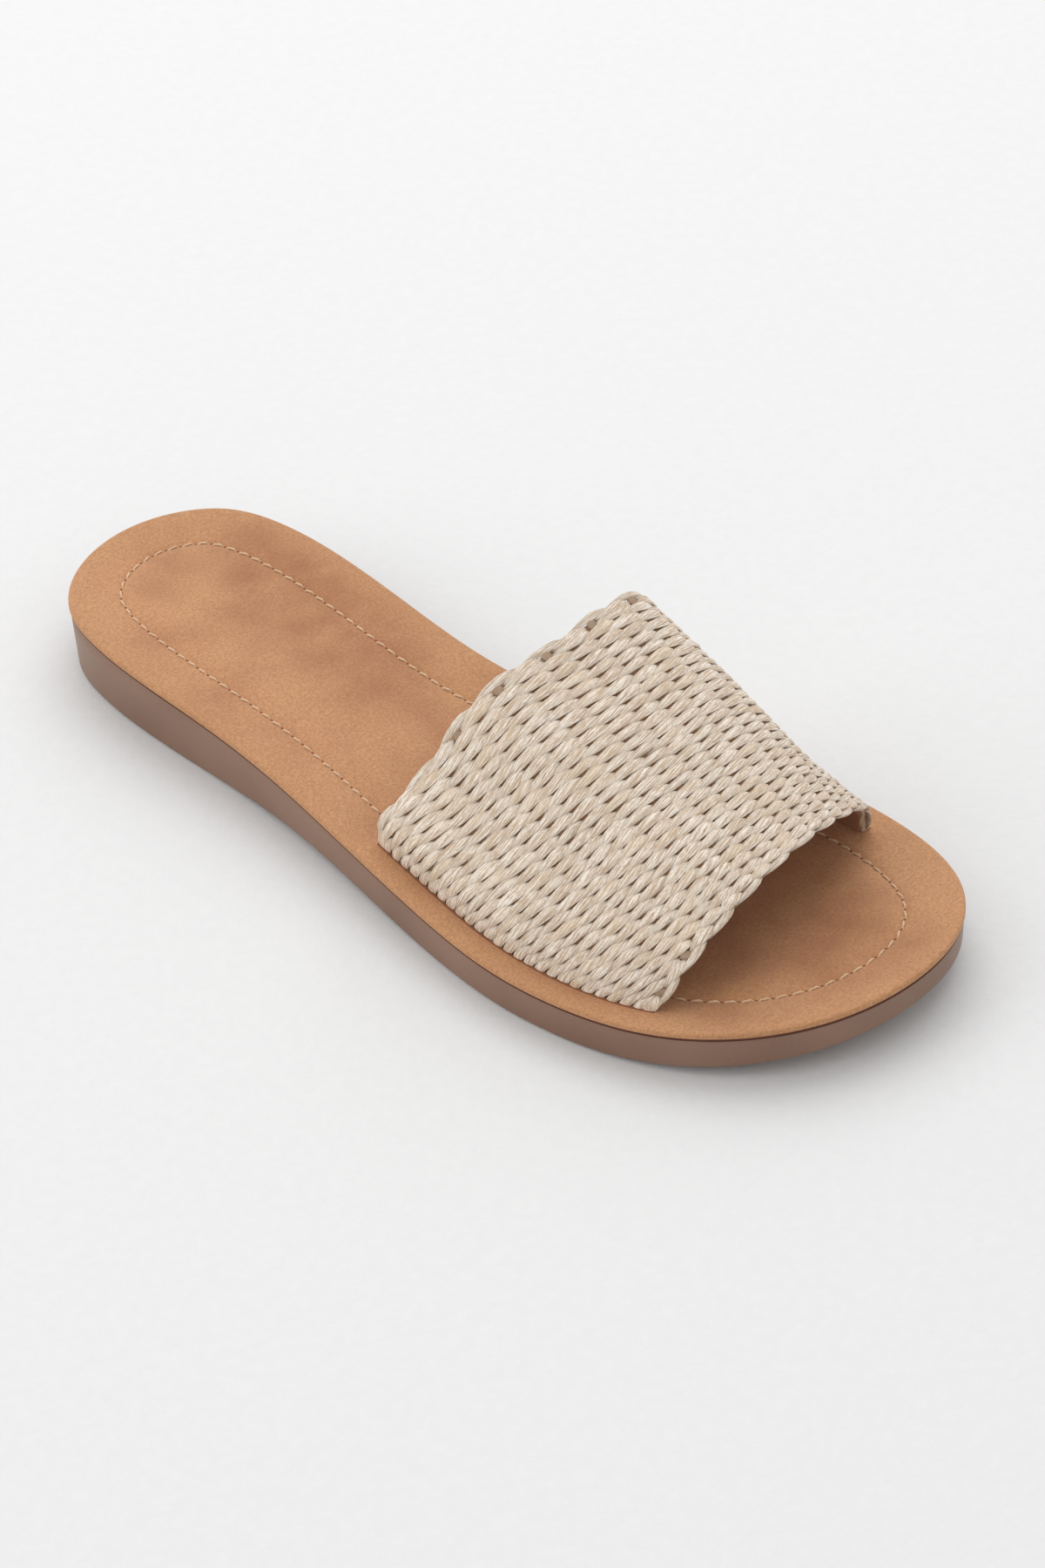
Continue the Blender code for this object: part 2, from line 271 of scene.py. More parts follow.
def volume_of(points, faces):
    """Signed volume: a sixth of the sum of a . (b x c) over the triangles of each face's fan."""
    total = 0.0
    for size in {len(face) for face in faces}:
        corner = points[np.array([face for face in faces if len(face) == size])]
        for k in range(1, size - 1):
            total += np.einsum("ij,ij->", corner[:, 0], np.cross(corner[:, k], corner[:, k + 1])) / 6
    return total


def make_piece(name, points, faces, material, replaces=(), marks=None):
    """A closed mesh at the origin, shaded smooth up to the crease angle. marks are named values,
    one for each point, which the materials read."""
    faces = [tuple(face) for face in faces]
    if volume_of(points, faces) < 0:
        faces = [face[::-1] for face in faces]
    mesh = bpy.data.meshes.new(name)
    mesh.from_pydata(points.tolist(), [], faces)
    for key, values in (marks or {}).items():
        kind = "FLOAT_VECTOR" if values.ndim == 2 else "FLOAT"
        field = "vector" if values.ndim == 2 else "value"
        attribute = mesh.attributes.new(key, kind, "POINT")
        attribute.data.foreach_set(field, values.astype(np.float32).ravel())
    form = bmesh.new()
    form.from_mesh(mesh)
    bmesh.ops.remove_doubles(form, verts=form.verts, dist=1e-7)
    bmesh.ops.dissolve_degenerate(form, edges=form.edges, dist=1e-8)
    form.to_mesh(mesh)
    form.free()
    mesh.shade_smooth()
    mesh.set_sharp_from_angle(angle=CREASE)
    mesh.materials.append(material)
    piece = bpy.data.objects.new(name, mesh)
    bpy.context.scene.collection.objects.link(piece)
    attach(piece, "root")
    if replaces:
        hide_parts(*replaces)
    print(name, len(mesh.vertices), "points,", len(mesh.polygons), "faces")
    return piece


# %% [markdown]
# ## Materials as small node trees
# A real finish is never one colour. A painted picture could carry its tones, but would blur close up
# and need unwrapping. Each material here mixes a few tones by soft noise instead, and adds a fine
# bump. A short helper class keeps the node code readable.

# %% A small hand for node trees
class Finish:
    """A Principled material whose nodes are added one at a time and linked by name."""

    def __init__(self, name, roughness, coat=0.0, sheen=0.0, specular=0.5):
        self.material = bpy.data.materials.new(name)
        self.material.use_nodes = True
        self.tree = self.material.node_tree
        self.shader = self.tree.nodes["Principled BSDF"]
        self.shader.inputs["Roughness"].default_value = roughness
        self.shader.inputs["Coat Weight"].default_value = coat
        self.shader.inputs["Sheen Weight"].default_value = sheen
        self.shader.inputs["Specular IOR Level"].default_value = specular

    def node(self, kind, **inputs):
        """A node of that kind; an input is a socket to link or a plain value to set."""
        made = self.tree.nodes.new(kind)
        for key, value in inputs.items():
            socket = made.inputs[key.replace("_", " ")]
            if isinstance(value, bpy.types.NodeSocket):
                self.tree.links.new(value, socket)
            else:
                socket.default_value = value
        return made

    def place(self):
        """Place on the piece, in metres."""
        return self.node("ShaderNodeTexCoord").outputs["Object"]

    def mark(self, key, output="Fac"):
        """The mesh's own values of that name."""
        made = self.node("ShaderNodeAttribute")
        made.attribute_name = key
        return made.outputs[output]

    def noise(self, vector, scale, detail=3.0, roughness=0.5):
        """Soft noise from 0 to 1, whose clouds are about 1 / scale wide."""
        inputs = {"Vector": vector, "Scale": scale, "Detail": detail, "Roughness": roughness}
        return self.node("ShaderNodeTexNoise", **inputs).outputs["Fac"]

    def blend(self, factor, first, second):
        """The first colour where the factor is 0, the second where it is 1."""
        made = self.tree.nodes.new("ShaderNodeMix")
        made.data_type = "RGBA"
        for socket, value in ((made.inputs[0], factor), (made.inputs[6], first), (made.inputs[7], second)):
            if isinstance(value, bpy.types.NodeSocket):
                self.tree.links.new(value, socket)
            else:
                socket.default_value = value
        return made.outputs[2]

    def stretch(self, value, low, high, first=0.0, second=1.0):
        """Low becomes first, high becomes second, evenly between and level beyond."""
        ends = {"From_Min": low, "From_Max": high, "To_Min": first, "To_Max": second}
        return self.node("ShaderNodeMapRange", Value=value, **ends).outputs["Result"]

    def times(self, value, amount):
        """A value multiplied by a plain number."""
        made = self.tree.nodes.new("ShaderNodeMath")
        made.operation = "MULTIPLY"
        self.tree.links.new(value, made.inputs[0])
        made.inputs[1].default_value = amount
        return made.outputs[0]

    def colour(self, socket):
        """The surface's own colour."""
        self.tree.links.new(socket, self.shader.inputs["Base Color"])

    def bump(self, height, distance, strength=1.0):
        """Tilts the surface as if the height stood up by that distance, in metres."""
        made = self.node("ShaderNodeBump", Height=height, Distance=distance, Strength=strength)
        self.tree.links.new(made.outputs["Normal"], self.shader.inputs["Normal"])


def shade(red, green, blue):
    """A display colour of 0 to 255 as the linear colour that a shader takes."""
    value = np.array([red, green, blue]) / 255
    linear = np.where(value <= 0.04045, value / 12.92, ((value + 0.055) / 1.055) ** 2.4)
    return (*[float(part) for part in linear], 1.0)


print("a mid display grey is in linear light:", round(shade(128, 128, 128)[0], 3))

# %% [markdown]
# ## Rubber and edge paint
# The sole unit is moulded in a satin rubber: nearly even, slightly cloudy, with a grain too fine to
# feel. The board's cut edge is painted dark. Both could be plain colours at this size, but a slight
# cloud and a fine bump keep the long highlight on the wall from looking like plastic film.

# %% Sole rubber and painted edge
def sole_rubber():
    """Two tones in clouds 45 mm wide, sparse pale specks, and a grain of half a millimetre."""
    finish = Finish("sole_rubber", roughness=0.42, specular=0.45)
    place = finish.place()
    cloud = finish.stretch(finish.noise(place, 22.0, 3.0), 0.35, 0.65)
    tone = finish.blend(cloud, shade(124, 93, 75), shade(140, 108, 89))
    speck = finish.stretch(finish.noise(place, 2600.0, 2.0), 0.62, 0.75)
    tone = finish.blend(finish.times(speck, 0.35), tone, shade(164, 136, 118))
    finish.colour(tone)
    finish.bump(finish.noise(place, 1800.0, 3.0), 0.00012, 0.35)
    return finish.material


def painted_edge():
    """Thin, dark and slightly uneven, as a brush leaves it."""
    finish = Finish("painted_edge", roughness=0.5)
    place = finish.place()
    tone = finish.blend(finish.noise(place, 160.0), shade(74, 34, 20), shade(112, 58, 34))
    finish.colour(tone)
    finish.bump(finish.noise(place, 900.0), 0.0001, 0.5)
    return finish.material


# %% [markdown]
# ## Footbed leather
# Nubuck is leather sanded to a short nap. It looks mottled in soft clouds about a thumb wide, and
# speckled close up. One noise could not be both, so three of them, each finer than the last, are laid
# over each other. Towards the edge a painted highlight makes it paler, so the mesh carries each
# point's distance from the edge and the material reads it.

# %% Nubuck finish
def nubuck():
    """Broad clouds, small clouds, a painted highlight that makes the rim paler up to 8 mm wide, and a nap of
    dark specks.
    """
    finish = Finish("footbed_nubuck", roughness=0.82, sheen=0.12, specular=0.3)
    place = finish.place()
    broad = finish.stretch(finish.noise(place, 26.0, 2.5, 0.55), 0.36, 0.64)
    tone = finish.blend(broad, shade(161, 107, 74), shade(199, 147, 107))
    small = finish.stretch(finish.noise(place, 75.0, 3.0, 0.6), 0.3, 0.7)
    tone = finish.blend(finish.times(small, 0.50), tone, shade(204, 156, 108))
    # Painted highlight: the leather is made paler up to 8 mm from the edge
    rim = finish.stretch(finish.mark("edge_distance"), 1.0, 8.0, 0.75, 0.0)
    tone = finish.blend(rim, tone, shade(196, 147, 104))
    nap = finish.noise(place, 1500.0, 2.0, 0.7)
    tone = finish.blend(finish.stretch(nap, 0.32, 0.68, 0.0, 0.5), tone, shade(140, 90, 58))
    finish.colour(tone)
    finish.bump(finish.noise(place, 1100.0, 3.0, 0.6), 0.00012, 0.45)
    return finish.material


# %% [markdown]
# ## Thread and holes
# The thread is pale and a little fuzzy, and the holes that the needle left are shown as painted shade,
# dark brown lenses. Both could be dashes painted on the leather, but thread catches light on its own.
# A black hole would look drawn on, so the brown keeps some of the leather.

# %% Thread, and painted shade for its needle holes
def thread_finish():
    """Two pale tones in clouds 2 mm wide, with a fine bump for the fibres."""
    finish = Finish("stitch_thread", roughness=0.6, sheen=0.2)
    place = finish.place()
    tone = finish.blend(finish.noise(place, 500.0), shade(202, 162, 124), shade(222, 190, 156))
    finish.colour(tone)
    finish.bump(finish.noise(place, 3000.0), 0.0001, 0.5)
    return finish.material


def hole_shade_finish():
    """Painted shade for holes: two dark leather browns, quite dull."""
    finish = Finish("needle_hole_shade", roughness=0.9)
    # Painted shade: these dark browns stand in for the shade inside the needle holes and the slits
    tone = finish.blend(finish.noise(finish.place(), 900.0), shade(104, 62, 38), shade(148, 96, 62))
    finish.colour(tone)
    return finish.material


# %% [markdown]
# ## Woven fibre
# The band is woven over brown warp cords that run from toe to heel. Each strand is a bundle of
# flat, papery fibres, so its colour changes in fine lines along it. Fibres could be modelled one by
# one, but there are tens of thousands. So the mesh of each strand keeps its own straightened place
# in a mark, and a noise that is stretched along it draws the lines and lifts them as a bump.

# %% Straw finish
def straw():
    """Cream and tan lines, a few darker fibres, some warmer strands, and painted shade: brown where a
    strand dives under its neighbours."""
    finish = Finish("woven_straw", roughness=0.72, sheen=0.15, specular=0.3)
    fibre = finish.mark("fibre", "Vector")
    lines = finish.noise(fibre, 1.0, 3.0, 0.6)
    tone = finish.blend(finish.stretch(lines, 0.42, 0.58), shade(206, 180, 152), shade(254, 243, 229))
    dark = finish.stretch(finish.noise(fibre, 1.4, 1.0), 0.60, 0.70)
    tone = finish.blend(finish.times(dark, 0.75), tone, shade(174, 140, 104))
    warm = finish.stretch(finish.mark("tone"), 0.6, 1.0, 0.0, 0.4)
    tone = finish.blend(warm, tone, shade(226, 200, 168))
    # Painted shade: brown where the mark under says a point lies deep between its neighbours
    tone = finish.blend(finish.mark("under"), tone, shade(170, 136, 100))
    finish.colour(tone)
    finish.bump(lines, 0.0006, 0.9)
    return finish.material


def warp_finish(name, dark, light):
    """Lines along the cord, between a dark and a light brown."""
    finish = Finish(name, roughness=0.7)
    fibre = finish.mark("fibre", "Vector")
    tone = finish.blend(finish.noise(fibre, 1.0, 3.0), dark, light)
    finish.colour(tone)
    finish.bump(finish.noise(fibre, 2.0, 2.0), 0.0003, 0.8)
    return finish.material


def lining_finish():
    """Thin brown leather with clouds 17 mm wide."""
    finish = Finish("band_lining", roughness=0.75, sheen=0.1)
    place = finish.place()
    cloud = finish.stretch(finish.noise(place, 60.0, 3.0), 0.35, 0.65)
    tone = finish.blend(cloud, shade(142, 96, 66), shade(166, 116, 82))
    finish.colour(tone)
    finish.bump(finish.noise(place, 1200.0, 3.0), 0.00015, 0.5)
    return finish.material


FINISHES = {
    "sole": sole_rubber(),
    "edge": painted_edge(),
    "nubuck": nubuck(),
    "thread": thread_finish(),
    "hole": hole_shade_finish(),
    "straw": straw(),
    "warp": warp_finish("warp_cord", shade(128, 88, 56), shade(184, 144, 104)),
    "turn": warp_finish("warp_turn", shade(142, 114, 90), shade(188, 162, 136)),
    "lining": lining_finish(),
}
print("finishes:", ", ".join(FINISHES))

# %% [markdown]
# ## Slabs
# Sole, board and cover are slabs of one outline. Each could be a filled curve with a thickness, but
# its top would be one large flat face that can't follow the seat. So a slab is stacked from rings:
# the top that shows is filled by rings that shrink onto a spine, which keeps the faces even, and a
# hidden face is closed by a ladder from side to side.

# %% Closing a slab
def ladder(base):
    """Faces from side to side across one ring: rungs between station i and its opposite, and a
    triangle at heel and toe."""
    count, i = len(LOOP), np.arange(1, STATIONS - 1)
    rungs = base + np.stack([i, i + 1, count - i - 1, count - i], axis=-1)
    toe = base + STATIONS
    return [(base, base + 1, base + count - 1), *rungs.tolist(), (toe - 1, toe, toe + 1)]


SPINE_HEEL, SPINE_TOE = 34 * MM, 46 * MM


def spine():
    """The line onto which the rings shrink: midway between the sides, short of heel and toe."""
    middle = (OUTER_SIDE[:, 0] + INNER_SIDE[:, 0]) / 2
    y = np.clip(OUTER_SIDE[:, 1], HEEL_Y + SPINE_HEEL, TOE_Y - SPINE_TOE)
    line = np.column_stack([np.interp(y, OUTER_SIDE[:, 1], middle), y])
    return np.vstack([line, line[-2:0:-1]])


def slab(name, rings, material, replaces, marks=None):
    """Stack of rings, lowest first; the last ring may be the spine, otherwise a ladder closes it."""
    points = np.vstack(rings)
    faces = grid_faces(len(rings), len(LOOP), close_cols=True).tolist() + ladder(0)
    if marks is None:
        faces += ladder(len(points) - len(LOOP))
    return make_piece(name, points, faces, material, replaces, marks)


print("points round one ring:", len(LOOP))

# %% [markdown]
# ## Sole unit
# The sole is moulded in one piece. Its wall leans in a little towards the ground, so that it comes
# out of the mould, and turns into the tread in a small round. A bevel would do for the round, but
# the wall is already a stack of rings, and a few more rings give it without any modifier.

# %% Sole unit
SOLE_STEP, TREAD_RADIUS = 0.3 * MM, 1.2 * MM
LIP_RISE, LIP_WIDTH, LIP_CORNER = 0.62 * MM, 0.22 * MM, 0.15 * MM
WALL_DRAFT = math.radians(2.5)
ROUND_RINGS, WALL_RINGS = 7, (0.25, 0.5, 0.75)


def make_sole():
    """Wall leaning in by the draft towards the ground: inset = step + tan(draft) * height. A quarter
    round, radius * (1 - sin, 1 - cos), leads into the tread. The rim stands up as a thin lip, so
    that only a fine dark line of the board shows above it."""

    def draft(y):
        return SOLE_STEP + math.tan(WALL_DRAFT) * (sole_top(y) - ground_lift(y))

    rings = []
    for angle in np.linspace(0, np.pi / 2, ROUND_RINGS):
        inset, lift = TREAD_RADIUS * (1 - np.sin(angle)), TREAD_RADIUS * (1 - np.cos(angle))
        rings.append(ring(lambda y: draft(y) + inset, lambda y: ground_lift(y) + lift))
    low = rings[-1]
    high = ring(SOLE_STEP, sole_top)
    rings += [low + (high - low) * part for part in WALL_RINGS]
    rings += [high + (0, 0, LIP_RISE - LIP_CORNER)]
    rings += [ring(SOLE_STEP + width, lambda y: sole_top(y) + LIP_RISE) for width in (LIP_CORNER, LIP_WIDTH)]
    rings += [ring(SOLE_STEP + LIP_WIDTH, sole_top)]
    return slab("sole_unit", rings, FINISHES["sole"], ["outsole"])


make_sole()

# %% [markdown]
# ## Board
# The board stiffens the footbed, and only its painted edge is seen, as a dark line between cover and
# sole. A line could be drawn on the wall, but a real layer casts its own small shadow from any side.

# %% Board with its painted edge
EDGE_GAP, PAINT_ROUND, PAINT_CORNER = 0.05 * MM, 0.3 * MM, 0.2 * MM


def make_board():
    """Flat slab with a slightly swollen edge, as paint leaves it: five rings, the middle three
    further out than the first and the last."""
    top = lambda y: seat_height(y) - CLEAR / 3
    low = lambda y: seat_height(y) - BOARD_THICK - CLEAR
    middle = lambda y: (top(y) + low(y)) / 2
    edge = SOLE_STEP + LIP_WIDTH + EDGE_GAP
    rings = [ring(edge + PAINT_ROUND, low), ring(edge, lambda y: low(y) + PAINT_CORNER), ring(edge, middle)]
    rings += [ring(edge, lambda y: top(y) - PAINT_CORNER), ring(edge + PAINT_ROUND, top)]
    return slab("board_edge", rings, FINISHES["edge"], ["insole_board"])


make_board()

# %% [markdown]
# ## Footbed cover
# The cover is soft: its edge is rounded over, the stitch line is pulled down into a narrow channel,
# and the field inside the stitches is slightly cushioned. It could be sculpted or simulated, but a
# glued cover hardly moves, and everything on it follows the edge. So all of that is a height added
# to the top as a function of the distance from the edge.

# %% Relief of the cover
STITCH_INSET = 13.5 * MM
INNER_MORE, ENDS_LESS = 0.7 * MM, 1.0 * MM
CHANNEL_DEPTH, CHANNEL_WIDTH = 0.35 * MM, 1.0 * MM
DISH, CUSHION = 0.65 * MM, 0.45 * MM
EDGE_ROUND = 0.8 * MM
# Where the dish starts, how far the cushion takes to rise, and over how far the rings take up the
# shift of the stitch line
RIM_FLAT, CUSHION_RUN, SHIFT_RUN = 2 * MM, 6 * MM, 8 * MM


def soft_step(value):
    """0 below 0, 1 above 1, and 3 v^2 - 2 v^3 between."""
    value = np.clip(value, 0, 1)
    return value**2 * (3 - 2 * value)


def cover_relief(inset):
    """A shallow dish from the rim to the stitches, a bell exp(-d^2) for their channel, and a cushion
    inside them. Dish and cushion are soft steps."""
    channel = CHANNEL_DEPTH * np.exp(-(((inset - STITCH_INSET) / CHANNEL_WIDTH) ** 2))
    dish = DISH * soft_step((inset - RIM_FLAT) / (STITCH_INSET - RIM_FLAT))
    return CUSHION * soft_step((inset - STITCH_INSET) / CUSHION_RUN) - dish - channel


# The stitches run a little further in on the inner side, and closer to the edge at heel and toe
STITCH_SHARE = 1 + (INNER_MORE * LOOP_IN[:, 0] - ENDS_LESS * LOOP_IN[:, 1] ** 2) / STITCH_INSET
print("channel under the rim, mm:", round(-float(cover_relief(STITCH_INSET)) / MM, 2))

# %% Footbed cover
# Millimetres from the edge at which rings lie: on the border, across the channel, and inside it
RING_PLACES = [np.arange(1.5, 12.0, 1.0), np.arange(12.0, 16.2, 0.35), np.arange(17.0, 21.0, 1.0)]
FIELD_RINGS, FIELD_DISTANCE = 12, 10 * MM
EDGE_RINGS = 6


def make_cover():
    """Rings at chosen distances from the edge, close together where the relief bends: a quarter
    round, then cover_top + cover_relief(distance), then shares of the way onto the spine."""
    rings, marks = [ring(0.0, seat_height)], [0.0]
    for angle in np.linspace(0, np.pi / 2, EDGE_RINGS):
        inset, drop = EDGE_ROUND * (1 - np.cos(angle)), EDGE_ROUND * (1 - np.sin(angle))
        rings.append(ring(inset, lambda y: cover_top(y) - drop))
        marks.append(inset)
    near = np.concatenate(RING_PLACES) * MM
    for inset in near:
        share_in = 1 + (STITCH_SHARE - 1) * soft_step((inset - RIM_FLAT) / SHIFT_RUN)
        rings.append(ring(inset * share_in, lambda y: cover_top(y) + cover_relief(inset)))
        marks.append(inset)
    last, line = rings[-1], spine()
    for part in np.linspace(0, 1, FIELD_RINGS)[1:]:
        plan = last[:, :2] * (1 - part) + line * part
        rings.append(np.column_stack([plan, cover_top(plan[:, 1]) + CUSHION - DISH]))
        marks.append(near[-1] + part * FIELD_DISTANCE)
    marks = {"edge_distance": np.repeat(np.array(marks) / MM, len(LOOP))}
    return slab("footbed", rings, FINISHES["nubuck"], ["footbed_cover"], marks)


make_cover()

# %% [markdown]
# ## Small closed shapes from arrays
# Stitches, strands and cord turns are all short closed tubes that taper to a point at both ends.
# Instances would repeat one shape exactly, and woven or sewn things never do. One set of faces
# serves for every copy, so hundreds of them are one array with one more index, each a bit different.

# %% Tapered tubes, joined
def tube_faces(rings, around):
    """Quads between the rings and a fan onto one tip point at each end."""
    quads = grid_faces(rings, around, close_cols=True)
    turn = np.arange(around)
    first = np.stack([np.full(around, rings * around), (turn + 1) % around, turn], -1)
    base = (rings - 1) * around
    last = np.stack([np.full(around, rings * around + 1), base + turn, base + (turn + 1) % around], -1)
    return quads, np.vstack([first, last])


def join_tubes(body, tips):
    """body is copies x rings x around x 3 and tips copies x 2 x 3: all points and all faces."""
    copies, rings, around = body.shape[:3]
    points = np.concatenate([body.reshape(copies, -1, 3), tips], axis=1)
    quads, fans = tube_faces(rings, around)
    start = (np.arange(copies) * points.shape[1])[:, None, None]
    faces = (quads[None] + start).reshape(-1, 4).tolist() + (fans[None] + start).reshape(-1, 3).tolist()
    return points.reshape(-1, 3), faces


def spread(values, rings, around):
    """One value a copy, repeated for each of its points."""
    return np.repeat(values, rings * around + 2)


print("faces of a tube of 8 rings, 8 around:", sum(len(part) for part in tube_faces(8, 8)))

# %% [markdown]
# ## Stitches
# A sewing machine lays each stitch straight from hole to hole, slightly slanted, and pulls its ends
# down. A dashed bump would look flat from the side. Here each stitch is a small twisted thread, read
# off the same loop that the channel follows, with the painted shade of a needle hole between two of them.

# %% Stitches round the footbed
STITCH_PITCH = 3.74 * MM
THREAD_RADIUS, THREAD_TIP = 0.28 * MM, 0.2 * MM
THREAD_RINGS, THREAD_AROUND = 8, 6
THREAD_TAPER, PLY_DEPTH, PLY_TURN = 0.55, 0.2, 7.0
# Half a stitch as a share of the pitch, how high its middle lies and how far its ends dive, and how
# far it slants across the line, with the unevenness of that
STITCH_HALF = 0.43
THREAD_LIFT, THREAD_DIVE = 0.22 * MM, 0.65 * MM
STITCH_SLANT, SLANT_UNEVEN = 0.22 * MM, 0.10 * MM


def stitch_line():
    """The loop inside the edge, read at even steps of about one stitch."""
    loop = ring(STITCH_INSET * STITCH_SHARE, lambda y: cover_top(y) + cover_relief(STITCH_INSET))
    loop = np.vstack([loop, loop[:1]])
    run = path_length(loop)
    count = int(round(run[-1] / STITCH_PITCH))
    at = np.linspace(0, run[-1], count, endpoint=False)
    read = lambda where: np.column_stack([np.interp(where % run[-1], run, column) for column in loop.T])
    return at, run[-1] / count, read


def make_stitches():
    """Each stitch is a two-ply thread, with part from -1 to 1 along it:
    radius = thread * (1 - taper * part^4) * (1 + ply * cos(2 angle - turn * part)).
    Its middle lies on the leather and its ends turn down into the holes:
    height = lift - dive * |part|^3."""
    at, pitch, read = stitch_line()
    part = np.linspace(-1, 1, THREAD_RINGS)
    around = np.linspace(0, 2 * np.pi, THREAD_AROUND, endpoint=False)
    half = pitch * STITCH_HALF
    uneven = np.random.default_rng(3).normal(0, SLANT_UNEVEN, len(at))
    where = at[:, None] + half * part[None, :]
    centre = read(where.ravel()).reshape(len(at), len(part), 3)
    along = unit(np.gradient(centre, axis=1))
    side = unit(np.cross([0, 0, 1.0], along))
    up = np.cross(along, side)
    lift = THREAD_LIFT - THREAD_DIVE * np.abs(part) ** 3
    slant = (STITCH_SLANT + uneven)[:, None] * part[None, :]
    centre = centre + up * lift[None, :, None] + side * slant[..., None]
    taper = (1 - np.abs(part) ** 4 * THREAD_TAPER)[None, :, None]
    ply = 1 + PLY_DEPTH * np.cos(2 * around[None, None, :] - PLY_TURN * part[None, :, None])
    radius = (THREAD_RADIUS * taper * ply)[..., None]
    ring_vector = (
        side[:, :, None] * np.cos(around)[None, None, :, None]
        + up[:, :, None] * np.sin(around)[None, None, :, None]
    )
    body = centre[:, :, None] + ring_vector * radius
    tips = centre[:, [0, -1]] + along[:, [0, -1]] * np.array([-1, 1])[None, :, None] * THREAD_TIP
    points, faces = join_tubes(body, tips)
    piece = make_piece("stitches", points, faces, FINISHES["thread"])
    print("stitches:", len(at), "at a pitch of mm:", round(pitch / MM, 2))
    return piece


make_stitches()

# %% Painted shade of the needle holes between the stitches
HOLE_LONG, HOLE_WIDE, HOLE_HIGH, HOLE_PROUD = 0.34 * MM, 0.30 * MM, 0.10 * MM, 0.03 * MM
HOLE_RINGS, HOLE_AROUND = 5, 8
LOOK_AHEAD = 0.5 * MM


def make_needle_hole_shade():
    """Flat dark lenses at the joints of the stitches, half sunk in the channel, as painted shade of the
    needle holes: an ellipsoid whose rings have the size sqrt(1 - part^2)."""
    at, pitch, read = stitch_line()
    centre = read(at + pitch / 2)
    part = np.linspace(-0.9, 0.9, HOLE_RINGS)
    around = np.linspace(0, 2 * np.pi, HOLE_AROUND, endpoint=False)
    along = unit(read(at + pitch / 2 + LOOK_AHEAD) - centre)
    side = unit(np.cross([0, 0, 1.0], along))
    size = np.sqrt(1 - part**2)
    body = (
        centre[:, None, None]
        + along[:, None, None] * (HOLE_LONG * part)[None, :, None, None]
        + side[:, None, None] * (HOLE_WIDE * size[:, None] * np.cos(around))[None, :, :, None]
        + np.array([0, 0, 1.0]) * (HOLE_HIGH * size[:, None] * np.sin(around) + HOLE_PROUD)[None, :, :, None]
    )
    tips = centre[:, None] + along[:, None] * np.array([-HOLE_LONG, HOLE_LONG])[None, :, None]
    points, faces = join_tubes(body, tips)
    return make_piece("needle_hole_shade", points, faces, FINISHES["hole"])


make_needle_hole_shade()

# %% [markdown]
# ## The band's form
# The band is a soft arch. Its front edge is low and close over the toes, its rear edge stands high
# over the instep and leans to the inner side. Cloth pressed over a foot could be simulated, but the
# shape that a pressed band keeps is better read off the real one. Each edge is a curve between its
# two feet, and the wall between them is the blend of the two curves with a slight sag.

# %% Feet and arches
ACROSS, ALONG = 321, 161
ARCH_STEPS = 1600


def foot_line(side, front, rear, sign):
    """Where the band enters the footbed: the outline moved in by the band's inset. sign is -1 on the
    outer side and 1 on the inner one."""
    y = HEEL_Y + np.linspace(front, rear, ALONG)
    edge = np.column_stack([np.interp(y, side[:, 1], side[:, 0]), y])
    along = unit(np.gradient(edge, axis=0))
    return edge + BAND_INSET * sign * np.column_stack([-along[:, 1], along[:, 0]])


def even_arch(across, rise, bow, width, height):
    """One edge of the band at even steps along its length."""
    knots = np.linspace(0, 1, len(across))
    fine = np.linspace(0, 1, ARCH_STEPS)
    curve = np.column_stack([bent_rule(knots, column, fine) for column in (across, rise, bow)])
    run = path_length(curve[:, :2] * (width, height))
    even = np.linspace(0, run[-1], ACROSS)
    return np.column_stack([np.interp(even, run, column) for column in curve.T])


def band_grid():
    """Points of the smooth outer face, across by along: the blend of front and rear arch, hung
    between the outer and the inner foot line. Midway the height loses the sag: 1 - 4 sag b (1 - b)."""
    outer = foot_line(OUTER_SIDE, OUTER_FRONT, OUTER_REAR, -1)
    inner = foot_line(INNER_SIDE, INNER_FRONT, INNER_REAR, 1)
    front = even_arch(*ARCH[:, :3].T, outer[0, 0] - inner[0, 0], FRONT_RISE)
    rear = even_arch(*ARCH[:, 3:].T, outer[-1, 0] - inner[-1, 0], REAR_RISE)
    back = np.linspace(0, 1, ALONG)[None, :]
    arch = front[:, None] * (1 - back[..., None]) + rear[:, None] * back[..., None]
    sag = 1 - 4 * BAND_SAG * back * (1 - back)
    rise = (FRONT_RISE + (REAR_RISE - FRONT_RISE) * back) * sag
    bow = FRONT_BOW + (REAR_BOW - FRONT_BOW) * back
    across = arch[..., 0]
    x = outer[:, 0] * (1 - across) + inner[:, 0] * across
    y = outer[:, 1] * (1 - across) + inner[:, 1] * across + bow * arch[..., 2]
    foot = cover_top(outer[:, 1]) * (1 - across) + cover_top(inner[:, 1]) * across
    return np.stack([x, y, foot + rise * arch[..., 1]], axis=-1)


BAND = band_grid()
STEP_ACROSS = np.gradient(BAND, axis=0) * (ACROSS - 1)
STEP_ALONG = np.gradient(BAND, axis=1) * (ALONG - 1)
BAND_OUT = unit(np.cross(STEP_ACROSS, STEP_ALONG))


def on_band(field, across, along):
    """Reads a field of the band between its grid points, by how near each of the four is."""
    i, j = np.clip(across, 0, 1) * (ACROSS - 1), np.clip(along, 0, 1) * (ALONG - 1)
    a, b = np.minimum(i.astype(int), ACROSS - 2), np.minimum(j.astype(int), ALONG - 2)
    p, q = (i - a)[..., None], (j - b)[..., None]
    near = field[a, b] * (1 - p) + field[a + 1, b] * p
    far = field[a, b + 1] * (1 - p) + field[a + 1, b + 1] * p
    return near * (1 - q) + far * q


